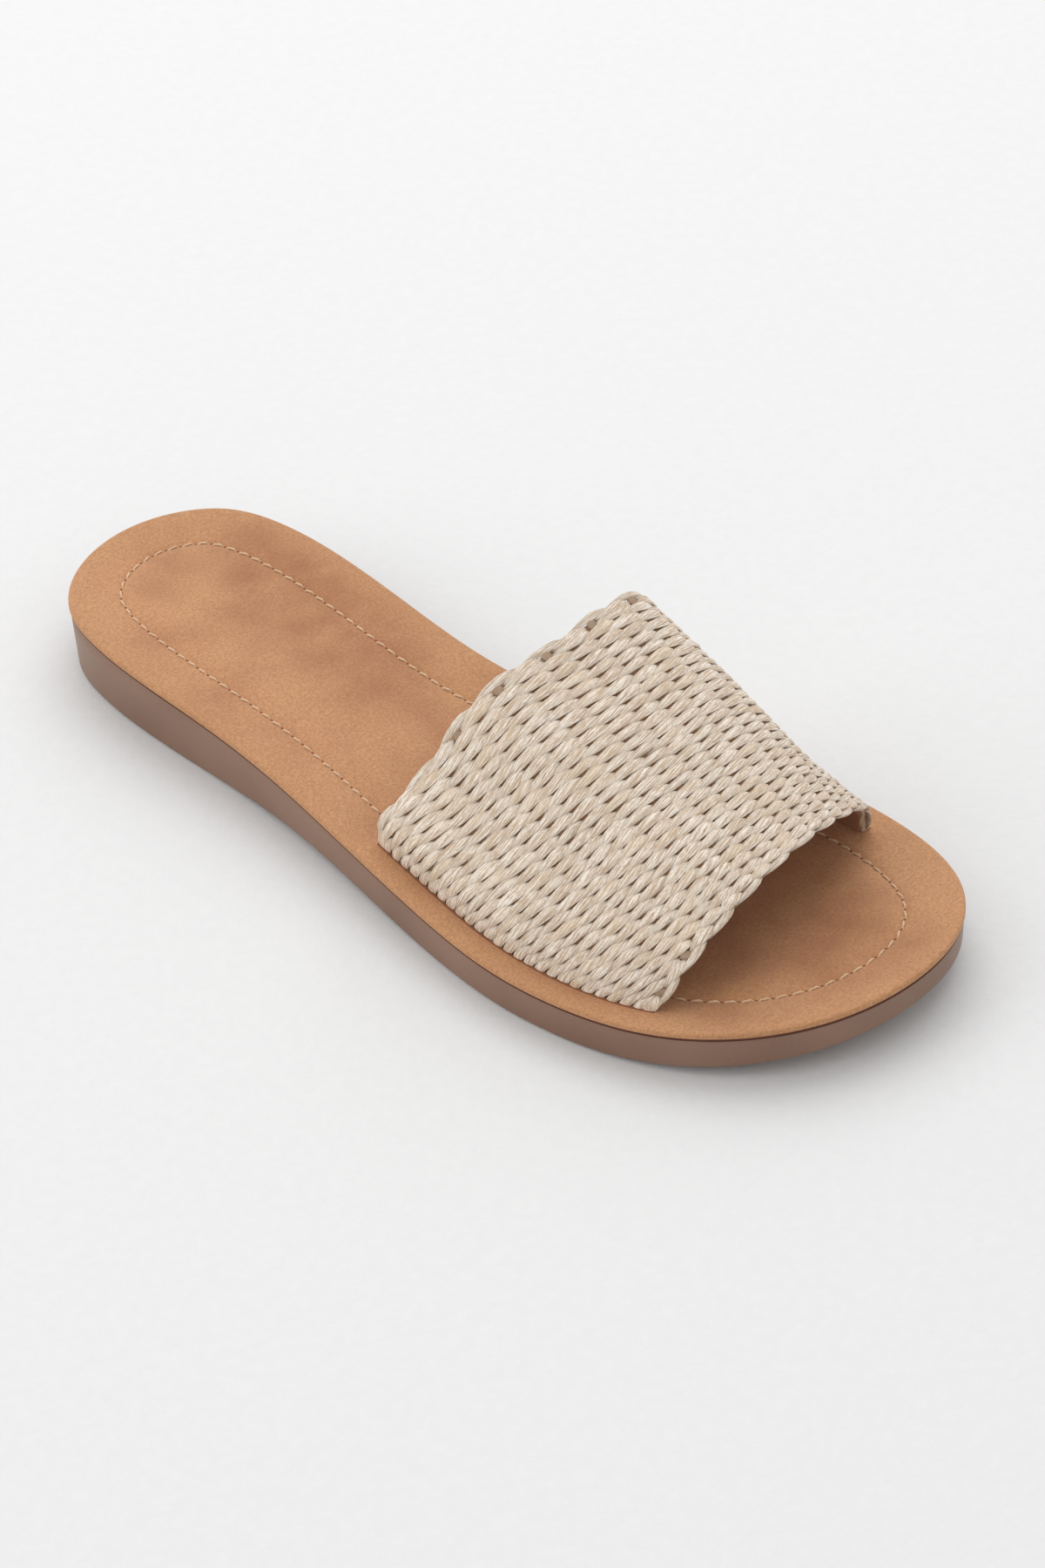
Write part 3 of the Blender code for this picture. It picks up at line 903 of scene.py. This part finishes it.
def place_on_band(across, along):
    """Points of the outer face, running straight on past its edges where asked."""
    over = np.stack([across - np.clip(across, 0, 1), along - np.clip(along, 0, 1)], -1)
    point = on_band(BAND, across, along)
    point = point + on_band(STEP_ACROSS, across, along) * over[..., :1]
    return point + on_band(STEP_ALONG, across, along) * over[..., 1:]


EDGES = {"front edge": BAND[:, 0], "rear edge": BAND[:, -1], "outer foot": BAND[0], "inner foot": BAND[-1]}
print("lengths in mm:", {edge: round(path_length(line)[-1] / MM) for edge, line in EDGES.items()})
patch = np.linalg.norm(np.cross(STEP_ACROSS, STEP_ALONG), axis=-1).mean()
print("area in square cm:", round(float(patch) * 1e4))

# %% [markdown]
# ## Slits
# The band's ends go down through slits in the leather. They could be cut into the cover, but what is
# seen of them is a thin shadow along the band's foot, so that is what is laid there.

# %% Painted shadow of the slits where the band enters the footbed
SLIT_OUT, SLIT_WIDE, SLIT_HIGH = 0.70 * MM, 0.50 * MM, 0.22 * MM
SLIT_AROUND = 8


def make_slit_shadows():
    """Beside each foot line runs a flat dark tube, (wide cos, high sin) round its middle line, which
    lies on the leather as the painted shadow of the slit's edge."""
    around = np.linspace(0, 2 * np.pi, SLIT_AROUND, endpoint=False)
    lines = []
    for side, front, rear, sign in (
        (OUTER_SIDE, OUTER_FRONT, OUTER_REAR, -1), (INNER_SIDE, INNER_FRONT, INNER_REAR, 1)
    ):
        plan = foot_line(side, front, rear, sign)
        along = unit(np.gradient(plan, axis=0))
        away = sign * np.column_stack([along[:, 1], -along[:, 0]])
        plan = plan + SLIT_OUT * away
        surface = cover_top(plan[:, 1]) + cover_relief(BAND_INSET - SLIT_OUT)
        middle, away = np.column_stack([plan, surface]), np.column_stack([away, np.zeros_like(surface)])
        aside = away[:, None] * (SLIT_WIDE * np.cos(around))[None, :, None]
        rise = np.array([0, 0, SLIT_HIGH]) * np.sin(around)[:, None]
        lines.append(middle[:, None] + aside + rise[None])
    body = np.array(lines)
    points, faces = join_tubes(body, body[:, [0, -1]].mean(axis=2))
    return make_piece("band_slit_shadows", points, faces, FINISHES["hole"])


make_slit_shadows()

# %% [markdown]
# ## Warp and lining
# Under the strands lie the brown warp cords, which show only in the small gaps, and inside the band
# a thin leather lining. Separate cords would be mostly hidden, so the warp is one ribbed sheet. Both
# are closed sheets with a thickness: the same grid twice, at two depths.

# %% A sheet between two depths
STRAND_COLUMNS, STRAND_ROWS = 20, 26


def sheet_between(name, outer_depth, inner_depth, across, along, material, replaces=(), marks=None):
    """Closed sheet: the grid at both depths, joined round its four edges."""
    u, v = np.meshgrid(across, along, indexing="ij")
    base, out = place_on_band(u, v), on_band(BAND_OUT, u, v)
    rows, cols = u.shape
    levels = [base - out * depth[..., None] for depth in (outer_depth, inner_depth)]
    points = np.vstack([level.reshape(-1, 3) for level in levels])
    top = grid_faces(rows, cols)
    index = np.arange(rows * cols).reshape(rows, cols)
    rim = np.concatenate([index[:, 0], index[-1, 1:], index[-2::-1, -1], index[0, -2:0:-1]])
    sides = np.stack([rim, np.roll(rim, -1), np.roll(rim, -1) + rows * cols, rim + rows * cols], -1)
    faces = np.vstack([top, top[:, ::-1] + rows * cols, sides]).tolist()
    marks = {key: np.concatenate([value, value]) for key, value in (marks or {}).items()}
    return make_piece(name, points, faces, material, replaces, marks)


# %% Warp and lining
WARP_PROUD, WARP_GROOVE, WARP_BACK = 0.05 * MM, 0.40 * MM, 1.15 * MM
LINING_FACE = 1.2 * MM
# How far short of the band's edges the two sheets end, as shares, and their steps from edge to edge
WARP_SHORT, LINING_SHORT, SHEET_STEPS = 0.012, 0.016, 60
STEPS_A_WARP, LINING_STEPS = 10, 120
WARP_FIBRE = (480, 30)


def make_warp():
    """Each warp is a rounded rib that runs along the band: depth = groove * |sin| of its column,
    less what the ribs stand proud."""
    across = np.linspace(0.0, 1.0, STRAND_COLUMNS * STEPS_A_WARP + 1)
    along = np.linspace(WARP_SHORT, 1 - WARP_SHORT, SHEET_STEPS)
    u, v = np.meshgrid(across, along, indexing="ij")
    depth = WARP_GROOVE * np.abs(np.sin(np.pi * u * STRAND_COLUMNS)) - WARP_PROUD
    fibre = np.stack([u * WARP_FIBRE[0], v * WARP_FIBRE[1], np.zeros_like(u)], -1).reshape(-1, 3)
    return sheet_between(
        "warp_cords", depth, np.full_like(u, WARP_BACK), across, along,
        FINISHES["warp"], ["woven_band"], {"fibre": fibre},
    )


def make_lining():
    """An even sheet from just behind the warp to the inside of the wall."""
    across = np.linspace(0.0, 1.0, LINING_STEPS + 1)
    along = np.linspace(LINING_SHORT, 1 - LINING_SHORT, SHEET_STEPS)
    level = np.zeros((len(across), len(along)))
    return sheet_between(
        "band_lining", level + LINING_FACE, level + BAND_WALL, across, along,
        FINISHES["lining"],
    )


make_warp()
make_lining()

# %% [markdown]
# ## Strands
# Each strand passes over one warp and under the next, so what shows is a long grain, thick at its
# head and pointed at its tail, and the grains are staggered like bricks. Strands could run on
# unbroken under the warp, but nothing of that is seen. So a grain is one tapered tube laid on the
# band: its middle stands up over the warp and its ends dive between its neighbours.

# %% Where the grains lie
ROW_DROOP, DROOP_ENDS = 0.075, 0.32
# A row's first shift, and how near the edges a grain may lie, in rows
FIRST_ROW, EDGE_ROWS = 0.25, 0.6


def droop(across):
    """Near the outer foot the rows bend back towards the heel: a square that fades out."""
    return ROW_DROOP * np.clip(1 - across / DROOP_ENDS, 0, 1) ** 2


def grain_places():
    """Column and row of every grain: rows are half a pitch lower in every second column."""
    column, row = np.meshgrid(np.arange(STRAND_COLUMNS + 1), np.arange(-3, STRAND_ROWS + 1), indexing="ij")
    across = column / STRAND_COLUMNS
    along = (row + 0.5 * (column % 2) + FIRST_ROW) / STRAND_ROWS + droop(across)
    shown = (along > EDGE_ROWS / STRAND_ROWS) & (along < 1 - EDGE_ROWS / STRAND_ROWS)
    return column[shown], across[shown], along[shown]


print("grains on the band:", len(grain_places()[0]))

# %% Form of one grain
RINGS, AROUND = 8, 8
EVEN = np.linspace(0, 2 * np.pi, AROUND, endpoint=False)
# Points closer together on the upper half, which is the one that shows
ROUND = EVEN + 0.35 * np.cos(EVEN)
# Reach of tail and head in columns, half width in rows, and height
GRAIN_REACH = (1.08, 0.85)
GRAIN_WIDTH = 0.485
GRAIN_HEIGHT = 1.0 * MM
# Places of the widest and of the highest point along the grain, from -1 to 1
HEAD, CREST = 0.30, 0.15
TAIL_POWER, HEAD_POWER, CREST_POWER = 1.9, 2.6, 0.8


def grain_frame(u, v):
    """On the band at (u, v): the place, the way out, and the way from front to rear."""
    return place_on_band(u, v), on_band(BAND_OUT, u, v), on_band(STEP_ALONG, u, v)


def grain_form(part):
    """Half width and middle line as shares. The width swells from a long tail to the head and ends
    there in a blunt curve: 1 - |distance from the head, as a share of what is left|^power. The
    middle line is a cosine of the distance from the crest, to a power below 1."""
    tail, head = (HEAD - part) / (1 + HEAD), (part - HEAD) / (1 - HEAD)
    width = np.where(part < HEAD, 1 - np.abs(tail) ** TAIL_POWER, 1 - np.abs(head) ** HEAD_POWER)
    high = np.where(part < CREST, (CREST - part) / (1 + CREST), (part - CREST) / (1 - CREST))
    return np.clip(width, 0, 1), np.cos(high * np.pi / 2) ** CREST_POWER


# %% Many grains in one mesh
# Rings lie at span * sin(angle), closer together at the ends
RING_SPAN, RING_ANGLE = 0.96, 1.35
# How uneven the grains are in length, width, height, slant and curl, and the least and the most
# that the first three may be multiplied by
UNEVEN = {"long": 0.04, "wide": 0.05, "high": 0.09, "slant": 0.025, "curl": 0.03}
LEAST, MOST = 0.7, 1.3
# The middle line rises and drops by these shares of the height, and the tips lie this much lower
MIDDLE_RISE, MIDDLE_DROP, TIP_DROP = 0.66, 0.28, 0.34
LOBE, LOBES, FIBRE_TWIST = 0.05, 3, 0.9


def make_grains(
    name, across, along, seed,
    reach=GRAIN_REACH, width=GRAIN_WIDTH, lift=GRAIN_HEIGHT, slant=0.03, curl=0.0, sink=0.0, hang=droop,
):
    """With part from -1 to 1 along a grain and angle round it:
    half width  = width * row pitch * the width share,
    half height = half the lift * the square root of that share,
    middle line = lift * (rise * its share - drop) - sink,
    rows        = a straight slant, plus curl * part^2, plus the droop of the rows.
    A few lobes turn slowly along the grain, as twisted fibres do."""
    rng = np.random.default_rng(seed)
    count = len(across)
    part = RING_SPAN * np.sin(np.linspace(-RING_ANGLE, RING_ANGLE, RINGS))[None, :]
    angle = ROUND[None, None, :]
    vary = lambda amount: np.clip(1 + rng.normal(0, amount, count), LEAST, MOST)[:, None]
    long, wide, high = vary(UNEVEN["long"]), width * vary(UNEVEN["wide"]), lift * vary(UNEVEN["high"])
    slant = rng.normal(slant, UNEVEN["slant"], count)[:, None] / STRAND_ROWS
    bend = rng.normal(curl, UNEVEN["curl"], count)[:, None] / STRAND_ROWS
    follow = lambda t: along[:, None] - slant * t + bend * (t**2 - 0.5) - hang(across)[:, None]
    stretch = lambda t: t * np.where(t < 0, *reach) / STRAND_COLUMNS
    u = across[:, None] + long * stretch(part)
    v = follow(part) + hang(u)
    base, out, step = grain_frame(u, v)
    side, pitch = unit(step), np.linalg.norm(step, axis=-1) / STRAND_ROWS
    share_wide, share_high = grain_form(part)
    half_width = wide * pitch * share_wide
    half_height = high / 2 * np.sqrt(share_wide)
    middle = high * (MIDDLE_RISE * share_high - MIDDLE_DROP) - sink
    twist = rng.uniform(0, 2 * np.pi, count)[:, None, None]
    turned = angle + FIBRE_TWIST * part[..., None]
    lobes = 1 + LOBE * np.cos(LOBES * turned + twist)
    sideways = half_width[..., None] * np.cos(angle) * lobes
    upwards = middle[..., None] + half_height[..., None] * np.sin(angle) * lobes
    body = base[:, :, None] + side[:, :, None] * sideways[..., None] + out[:, :, None] * upwards[..., None]
    ends = np.array([[-1.0, 1.0]])
    tip_u = across[:, None] + long * stretch(ends)
    tip_base, tip_out, _ = grain_frame(tip_u, follow(ends) + hang(tip_u))
    points, faces = join_tubes(body, tip_base - tip_out * (TIP_DROP * high + sink)[..., None])
    marks = grain_marks(part, angle, (upwards + sink) / lift, rng, count)
    return make_piece(name, points, faces, FINISHES["straw"], (), marks)


# Fibre lines: length and radius of the straightened grain in the noise's own units. Painted shade starts
# to turn a point brown below the first share of the grain's height, and it is brown after the second more.
FIBRE_LONG, FIBRE_RADIUS = 1.1, 4.6
SHADE_BELOW, SHADE_RUN = 0.12, 0.5


def grain_marks(part, angle, level, rng, count):
    """fibre: place in the straightened grain, (long * part, radius * cos, radius * sin) plus a shift
    for each grain, so that lines run from tip to tip and turn slowly; tone: one number a grain;
    under: how deep a point lies between its neighbours, which the straw material paints as shade."""
    shift = rng.uniform(0, 500, (count, 1, 1))
    turned = angle + FIBRE_TWIST * part[..., None]
    fibre = np.broadcast_arrays(
        FIBRE_LONG * part[..., None] + shift,
        FIBRE_RADIUS * np.cos(turned) + shift,
        FIBRE_RADIUS * np.sin(turned),
    )
    fibre = np.stack(fibre, -1).reshape(count, -1, 3)
    ends = np.concatenate([fibre[:, :1], fibre[:, -1:]], axis=1)
    # Painted shade: points low in the grain, and the two tips, are marked to turn brown
    depth = np.clip((SHADE_BELOW - level) / SHADE_RUN, 0, 1).reshape(count, -1)
    under = np.concatenate([depth, np.ones((count, 2))], axis=1)
    return {
        "fibre": np.concatenate([fibre, ends], axis=1).reshape(-1, 3),
        "tone": spread(rng.uniform(0, 1, count), RINGS, AROUND),
        "under": under.ravel(),
    }


# %% Grains of the weave
column, across, along = grain_places()
for name, odd in (("strands_even_columns", 0), ("strands_odd_columns", 1)):
    chosen = column % 2 == odd
    make_grains(name, across[chosen], along[chosen], seed=11 + odd)

# %% [markdown]
# ## Selvedges
# Along the front and the rear edge the strands turn back round the last warp. A plain cord along the
# edge would look like piping. So three things are laid there: one low cord that covers the band's
# thickness, wide grains at every second column, and slim slanted ones between them that lap over the
# next. Under the slim ones a small brown turn of the warp shows.

# %% Edge cord
CORD_STEPS, CORD_AROUND = 12, 16
# Half width and half height, how far the cord lies inside the edge, how far it swings, and how deep
# its middle lies at the front and at the rear edge
CORD_HALF_WIDE, CORD_HALF_HIGH = 0.60 * MM, 0.85 * MM
CORD_INSIDE, CORD_SWING = 0.95 * MM, 0.20 * MM
CORD_DEPTH = {"front": 0.80 * MM, "rear": 1.15 * MM}
# How far its lobes turn from one step to the next, in radians, and how uneven that is
CORD_TURN, CORD_TURN_UNEVEN = 0.12, 0.05
# Its straw lines, and the painted shade that turns it brown towards its underside
CORD_FIBRE, CORD_TONE = 4.0, 0.35
CORD_SHADE_RUN, CORD_SHADE_FROM, CORD_SHADE_MOST, CORD_SHADE_TIP = 2.4 * MM, 0.1, 0.7, 0.6


def make_edge_cord(name, edge, depth, seed):
    """One unbroken strand low along the edge, which hides the layers: an ellipse of 1 + 0.09 cos 3a
    + 0.06 cos 5a, whose lobes turn at an uneven rate, and which swings as a cosine of its column."""
    rng = np.random.default_rng(seed)
    u = np.linspace(0.0, 1.0, STRAND_COLUMNS * CORD_STEPS + 1)
    wave = np.cos(np.pi * STRAND_COLUMNS * u)
    base, out, step = grain_frame(u, np.full_like(u, edge))
    side = unit(step) * (1 if edge else -1)
    angle = np.linspace(0, 2 * np.pi, CORD_AROUND, endpoint=False)[None, :]
    turned = angle + np.cumsum(rng.normal(CORD_TURN, CORD_TURN_UNEVEN, len(u)))[:, None]
    lobes = 1 + 0.09 * np.cos(3 * turned) + 0.06 * np.cos(5 * turned)
    swing = CORD_SWING * wave[:, None]
    sideways = CORD_HALF_WIDE * np.cos(angle) * lobes - CORD_INSIDE + swing
    upwards = CORD_HALF_HIGH * np.sin(angle) * lobes - depth + swing
    body = base[:, None] + side[:, None] * sideways[..., None] + out[:, None] * upwards[..., None]
    tips = np.stack([body[0].mean(0), body[-1].mean(0)])
    points, faces = join_tubes(body[None], tips[None])
    run = np.broadcast_to((u * STRAND_COLUMNS)[:, None], turned.shape)
    fibre = np.stack([run, np.cos(turned) * CORD_FIBRE, np.sin(turned) * CORD_FIBRE], -1).reshape(-1, 3)
    fibre = np.vstack([fibre, fibre[0], fibre[-1]])
    # Painted shade: brown grows towards the cord's underside and stands at its two tips
    under = np.clip(-upwards / CORD_SHADE_RUN - CORD_SHADE_FROM, 0, CORD_SHADE_MOST).ravel()
    under = np.append(under, [CORD_SHADE_TIP, CORD_SHADE_TIP])
    marks = {"fibre": fibre, "tone": np.full(len(points), CORD_TONE), "under": under}
    return make_piece(name, points, faces, FINISHES["straw"], (), marks)


# %% Edge strands
EDGE_HEIGHT = 1.05 * MM
# How many rows inside the edge the wide and the slim grains lie
WAVE_INSIDE, SCALLOP_INSIDE = 0.42, 0.02


def straight(across):
    """No droop: the edge strands follow the edge, so the shift is 0 everywhere."""
    return np.zeros_like(across)


def make_edge_waves(name, edge, seed):
    """Wide grains at every second column of the edge, with a turn of the warp between two."""
    across = np.arange(0, STRAND_COLUMNS + 1, 2) / STRAND_COLUMNS
    along = np.full(len(across), abs(edge - WAVE_INSIDE / STRAND_ROWS))
    return make_grains(
        name, across, along, seed, reach=(0.86, 0.84), width=0.50, lift=EDGE_HEIGHT, hang=straight,
    )


def make_edge_scallops(name, edge, seed):
    """Slim slanted grains outside the turns of the warp, curled inwards at both ends so that each
    laps over the next."""
    across = np.arange(1, STRAND_COLUMNS, 2) / STRAND_COLUMNS
    along = np.full(len(across), abs(edge - SCALLOP_INSIDE / STRAND_ROWS))
    inwards = -1 if edge else 1
    return make_grains(
        name, across, along, seed, reach=(1.14, 1.10), width=0.35, lift=EDGE_HEIGHT,
        slant=-0.05 * inwards, curl=0.17 * inwards, sink=0.30 * MM, hang=straight,
    )


for name, edge in (("front", 0.0), ("rear", 1.0)):
    make_edge_cord(name + "_edge_cord", edge, CORD_DEPTH[name], seed=21 + int(edge))
    make_edge_waves(name + "_edge_strands", edge, seed=31 + int(edge))
    make_edge_scallops(name + "_edge_scallops", edge, seed=41 + int(edge))


# %% Turns of the warp
TURN_SIZE, TURN_HIGH, TURN_PRESS = 1.20 * MM, 0.45 * MM, 0.6
TURN_INSIDE, TURN_RINGS = 0.54, 7
# Length and radius in the noise's own units, and the shift from one turn to the next
TURN_FIBRE, TURN_SHIFT = (6.0, 0.5), 7.0


def make_warp_turns():
    """Rounded brown cushions at every second column of both edges, half a row inside them: a sphere
    pressed towards a box, its width and height raised to the power 0.6."""
    across = np.arange(1, STRAND_COLUMNS, 2) / STRAND_COLUMNS
    u = np.concatenate([across, across])
    v = np.repeat([TURN_INSIDE / STRAND_ROWS, 1 - TURN_INSIDE / STRAND_ROWS], len(across))
    base, out, step = grain_frame(u, v)
    side, run = unit(step), unit(on_band(STEP_ACROSS, u, v))
    part = np.linspace(-0.95, 0.95, TURN_RINGS)
    press = lambda value: np.sign(value) * np.abs(value) ** TURN_PRESS
    size = np.sqrt(1 - part**2) ** TURN_PRESS
    body = (
        base[:, None, None]
        + run[:, None, None] * (TURN_SIZE * part)[None, :, None, None]
        + side[:, None, None] * (TURN_SIZE * size[:, None] * press(np.cos(EVEN)))[None, :, :, None]
        + out[:, None, None] * (TURN_HIGH * size[:, None] * press(np.sin(EVEN)))[None, :, :, None]
    )
    tips = base[:, None] + run[:, None] * (TURN_SIZE * np.array([-1.0, 1.0]))[None, :, None]
    points, faces = join_tubes(body, tips)
    long, radius = TURN_FIBRE
    local = np.broadcast_arrays(long * part[:, None], radius * np.cos(EVEN), radius * np.sin(EVEN))
    local = np.vstack([np.stack(local, -1).reshape(-1, 3), [[-long, 0, 0], [long, 0, 0]]])
    fibre = np.tile(local, (len(u), 1)) + np.repeat(np.arange(len(u)) * TURN_SHIFT, len(local))[:, None]
    return make_piece("warp_turns", points, faces, FINISHES["turn"], (), {"fibre": fibre})


make_warp_turns()

# %% [markdown]
# ## Stage, light and camera
# The sandal stands on a pale sheet under a large soft light, which hangs over the heel on the inner
# side. A weaker one on the outer side of the heel lifts the wall that the camera sees, and an even
# pale surround fills the rest. A small hard light would show the weave better, but would throw the
# sharp shadows that the real picture doesn't have.

# %% Pale floor
FLOOR_HALF = 6.0


def make_floor():
    """A square sheet with a faint grain, marked as stage."""
    finish = Finish("pale_paper", roughness=0.9, specular=0.2)
    place = finish.place()
    tone = finish.blend(finish.noise(place, 300.0, 4.0), shade(222, 222, 222), shade(228, 228, 228))
    finish.colour(tone)
    finish.bump(finish.noise(place, 500.0, 4.0), 0.0004, 0.25)
    mesh = bpy.data.meshes.new("floor")
    corners = np.array([(-1, -1, 0), (1, -1, 0), (1, 1, 0), (-1, 1, 0)]) * FLOOR_HALF
    mesh.from_pydata(corners.tolist(), [], [(0, 1, 2, 3)])
    mesh.materials.append(finish.material)
    floor = bpy.data.objects.new("floor", mesh)
    bpy.context.scene.collection.objects.link(floor)
    floor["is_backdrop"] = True
    print("floor, metres across:", 2 * FLOOR_HALF)


make_floor()

# %% Lights
SURROUND = 0.77


def add_light(name, place, size, power):
    """A round soft light at a place, turned towards the sandal."""
    lamp = bpy.data.lights.new(name, "AREA")
    lamp.shape = "DISK"
    lamp.size, lamp.energy = size, power
    light = bpy.data.objects.new(name, lamp)
    light.location = place
    light.rotation_mode = "QUATERNION"
    light.rotation_quaternion = (-Vector(place)).to_track_quat("-Z", "Y")
    bpy.context.scene.collection.objects.link(light)
    print(name, "at", place, "with", power, "watts")


add_light("softbox_behind", (-0.90, -0.66, 1.5), size=2.3, power=18.5)
add_light("fill_outer_side", (1.20, -0.85, 0.8), size=1.4, power=6.5)
world = bpy.data.worlds.new("studio")
world.use_nodes = True
surround = world.node_tree.nodes["Background"].inputs
surround["Color"].default_value = (1, 1, 1, 1)
surround["Strength"].default_value = SURROUND
bpy.context.scene.world = world
bpy.context.scene.view_settings.view_transform = "Standard"

# %% [markdown]
# ## Camera
# The camera looks down from the outer side of the toe. Its place was solved once from the evenly
# spaced stitches and the outline, and a long lens from well away keeps the shape calm, as in the
# picture. Three angles and a distance say it more plainly than a matrix would.

# %% Camera
AZIMUTH, ELEVATION, ROLL = (math.radians(angle) for angle in (134.24, 38.97, -3.04))
CAMERA_DISTANCE = 1.26885
CAMERA_TARGET = Vector((-0.00592, 0.00782, 0.0088))
LENS_MM = 127.08


def add_camera():
    """Stands off the target by its distance, along (sin a cos e, -cos a cos e, sin e), and is rolled
    about its own axis."""
    back = Vector((
        math.sin(AZIMUTH) * math.cos(ELEVATION),
        -math.cos(AZIMUTH) * math.cos(ELEVATION),
        math.sin(ELEVATION),
    ))
    right = Vector((math.cos(AZIMUTH), math.sin(AZIMUTH), 0))
    up = back.cross(right)
    across = right * math.cos(ROLL) + up * math.sin(ROLL)
    upright = up * math.cos(ROLL) - right * math.sin(ROLL)
    camera = bpy.data.objects.new("camera", bpy.data.cameras.new("camera"))
    camera.data.lens = LENS_MM
    turn = Matrix((across, upright, back)).transposed().to_4x4()
    camera.matrix_world = Matrix.Translation(CAMERA_TARGET + back * CAMERA_DISTANCE) @ turn
    bpy.context.scene.collection.objects.link(camera)
    bpy.context.scene.camera = camera
    print("camera at", [round(float(v), 3) for v in camera.matrix_world.translation])


add_camera()

# %% [markdown]
# ## Hand over
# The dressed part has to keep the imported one's size, so both boxes are written side by side. Then
# the frame takes over.

# %% Sizes and finish
low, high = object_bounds()
{"cad": [list(cad_low), list(cad_high)], "visual": [list(low), list(high)]}
print("grown by, mm:", [round(float(v) / MM, 2) for v in (*(cad_low - low), *(high - cad_high))])
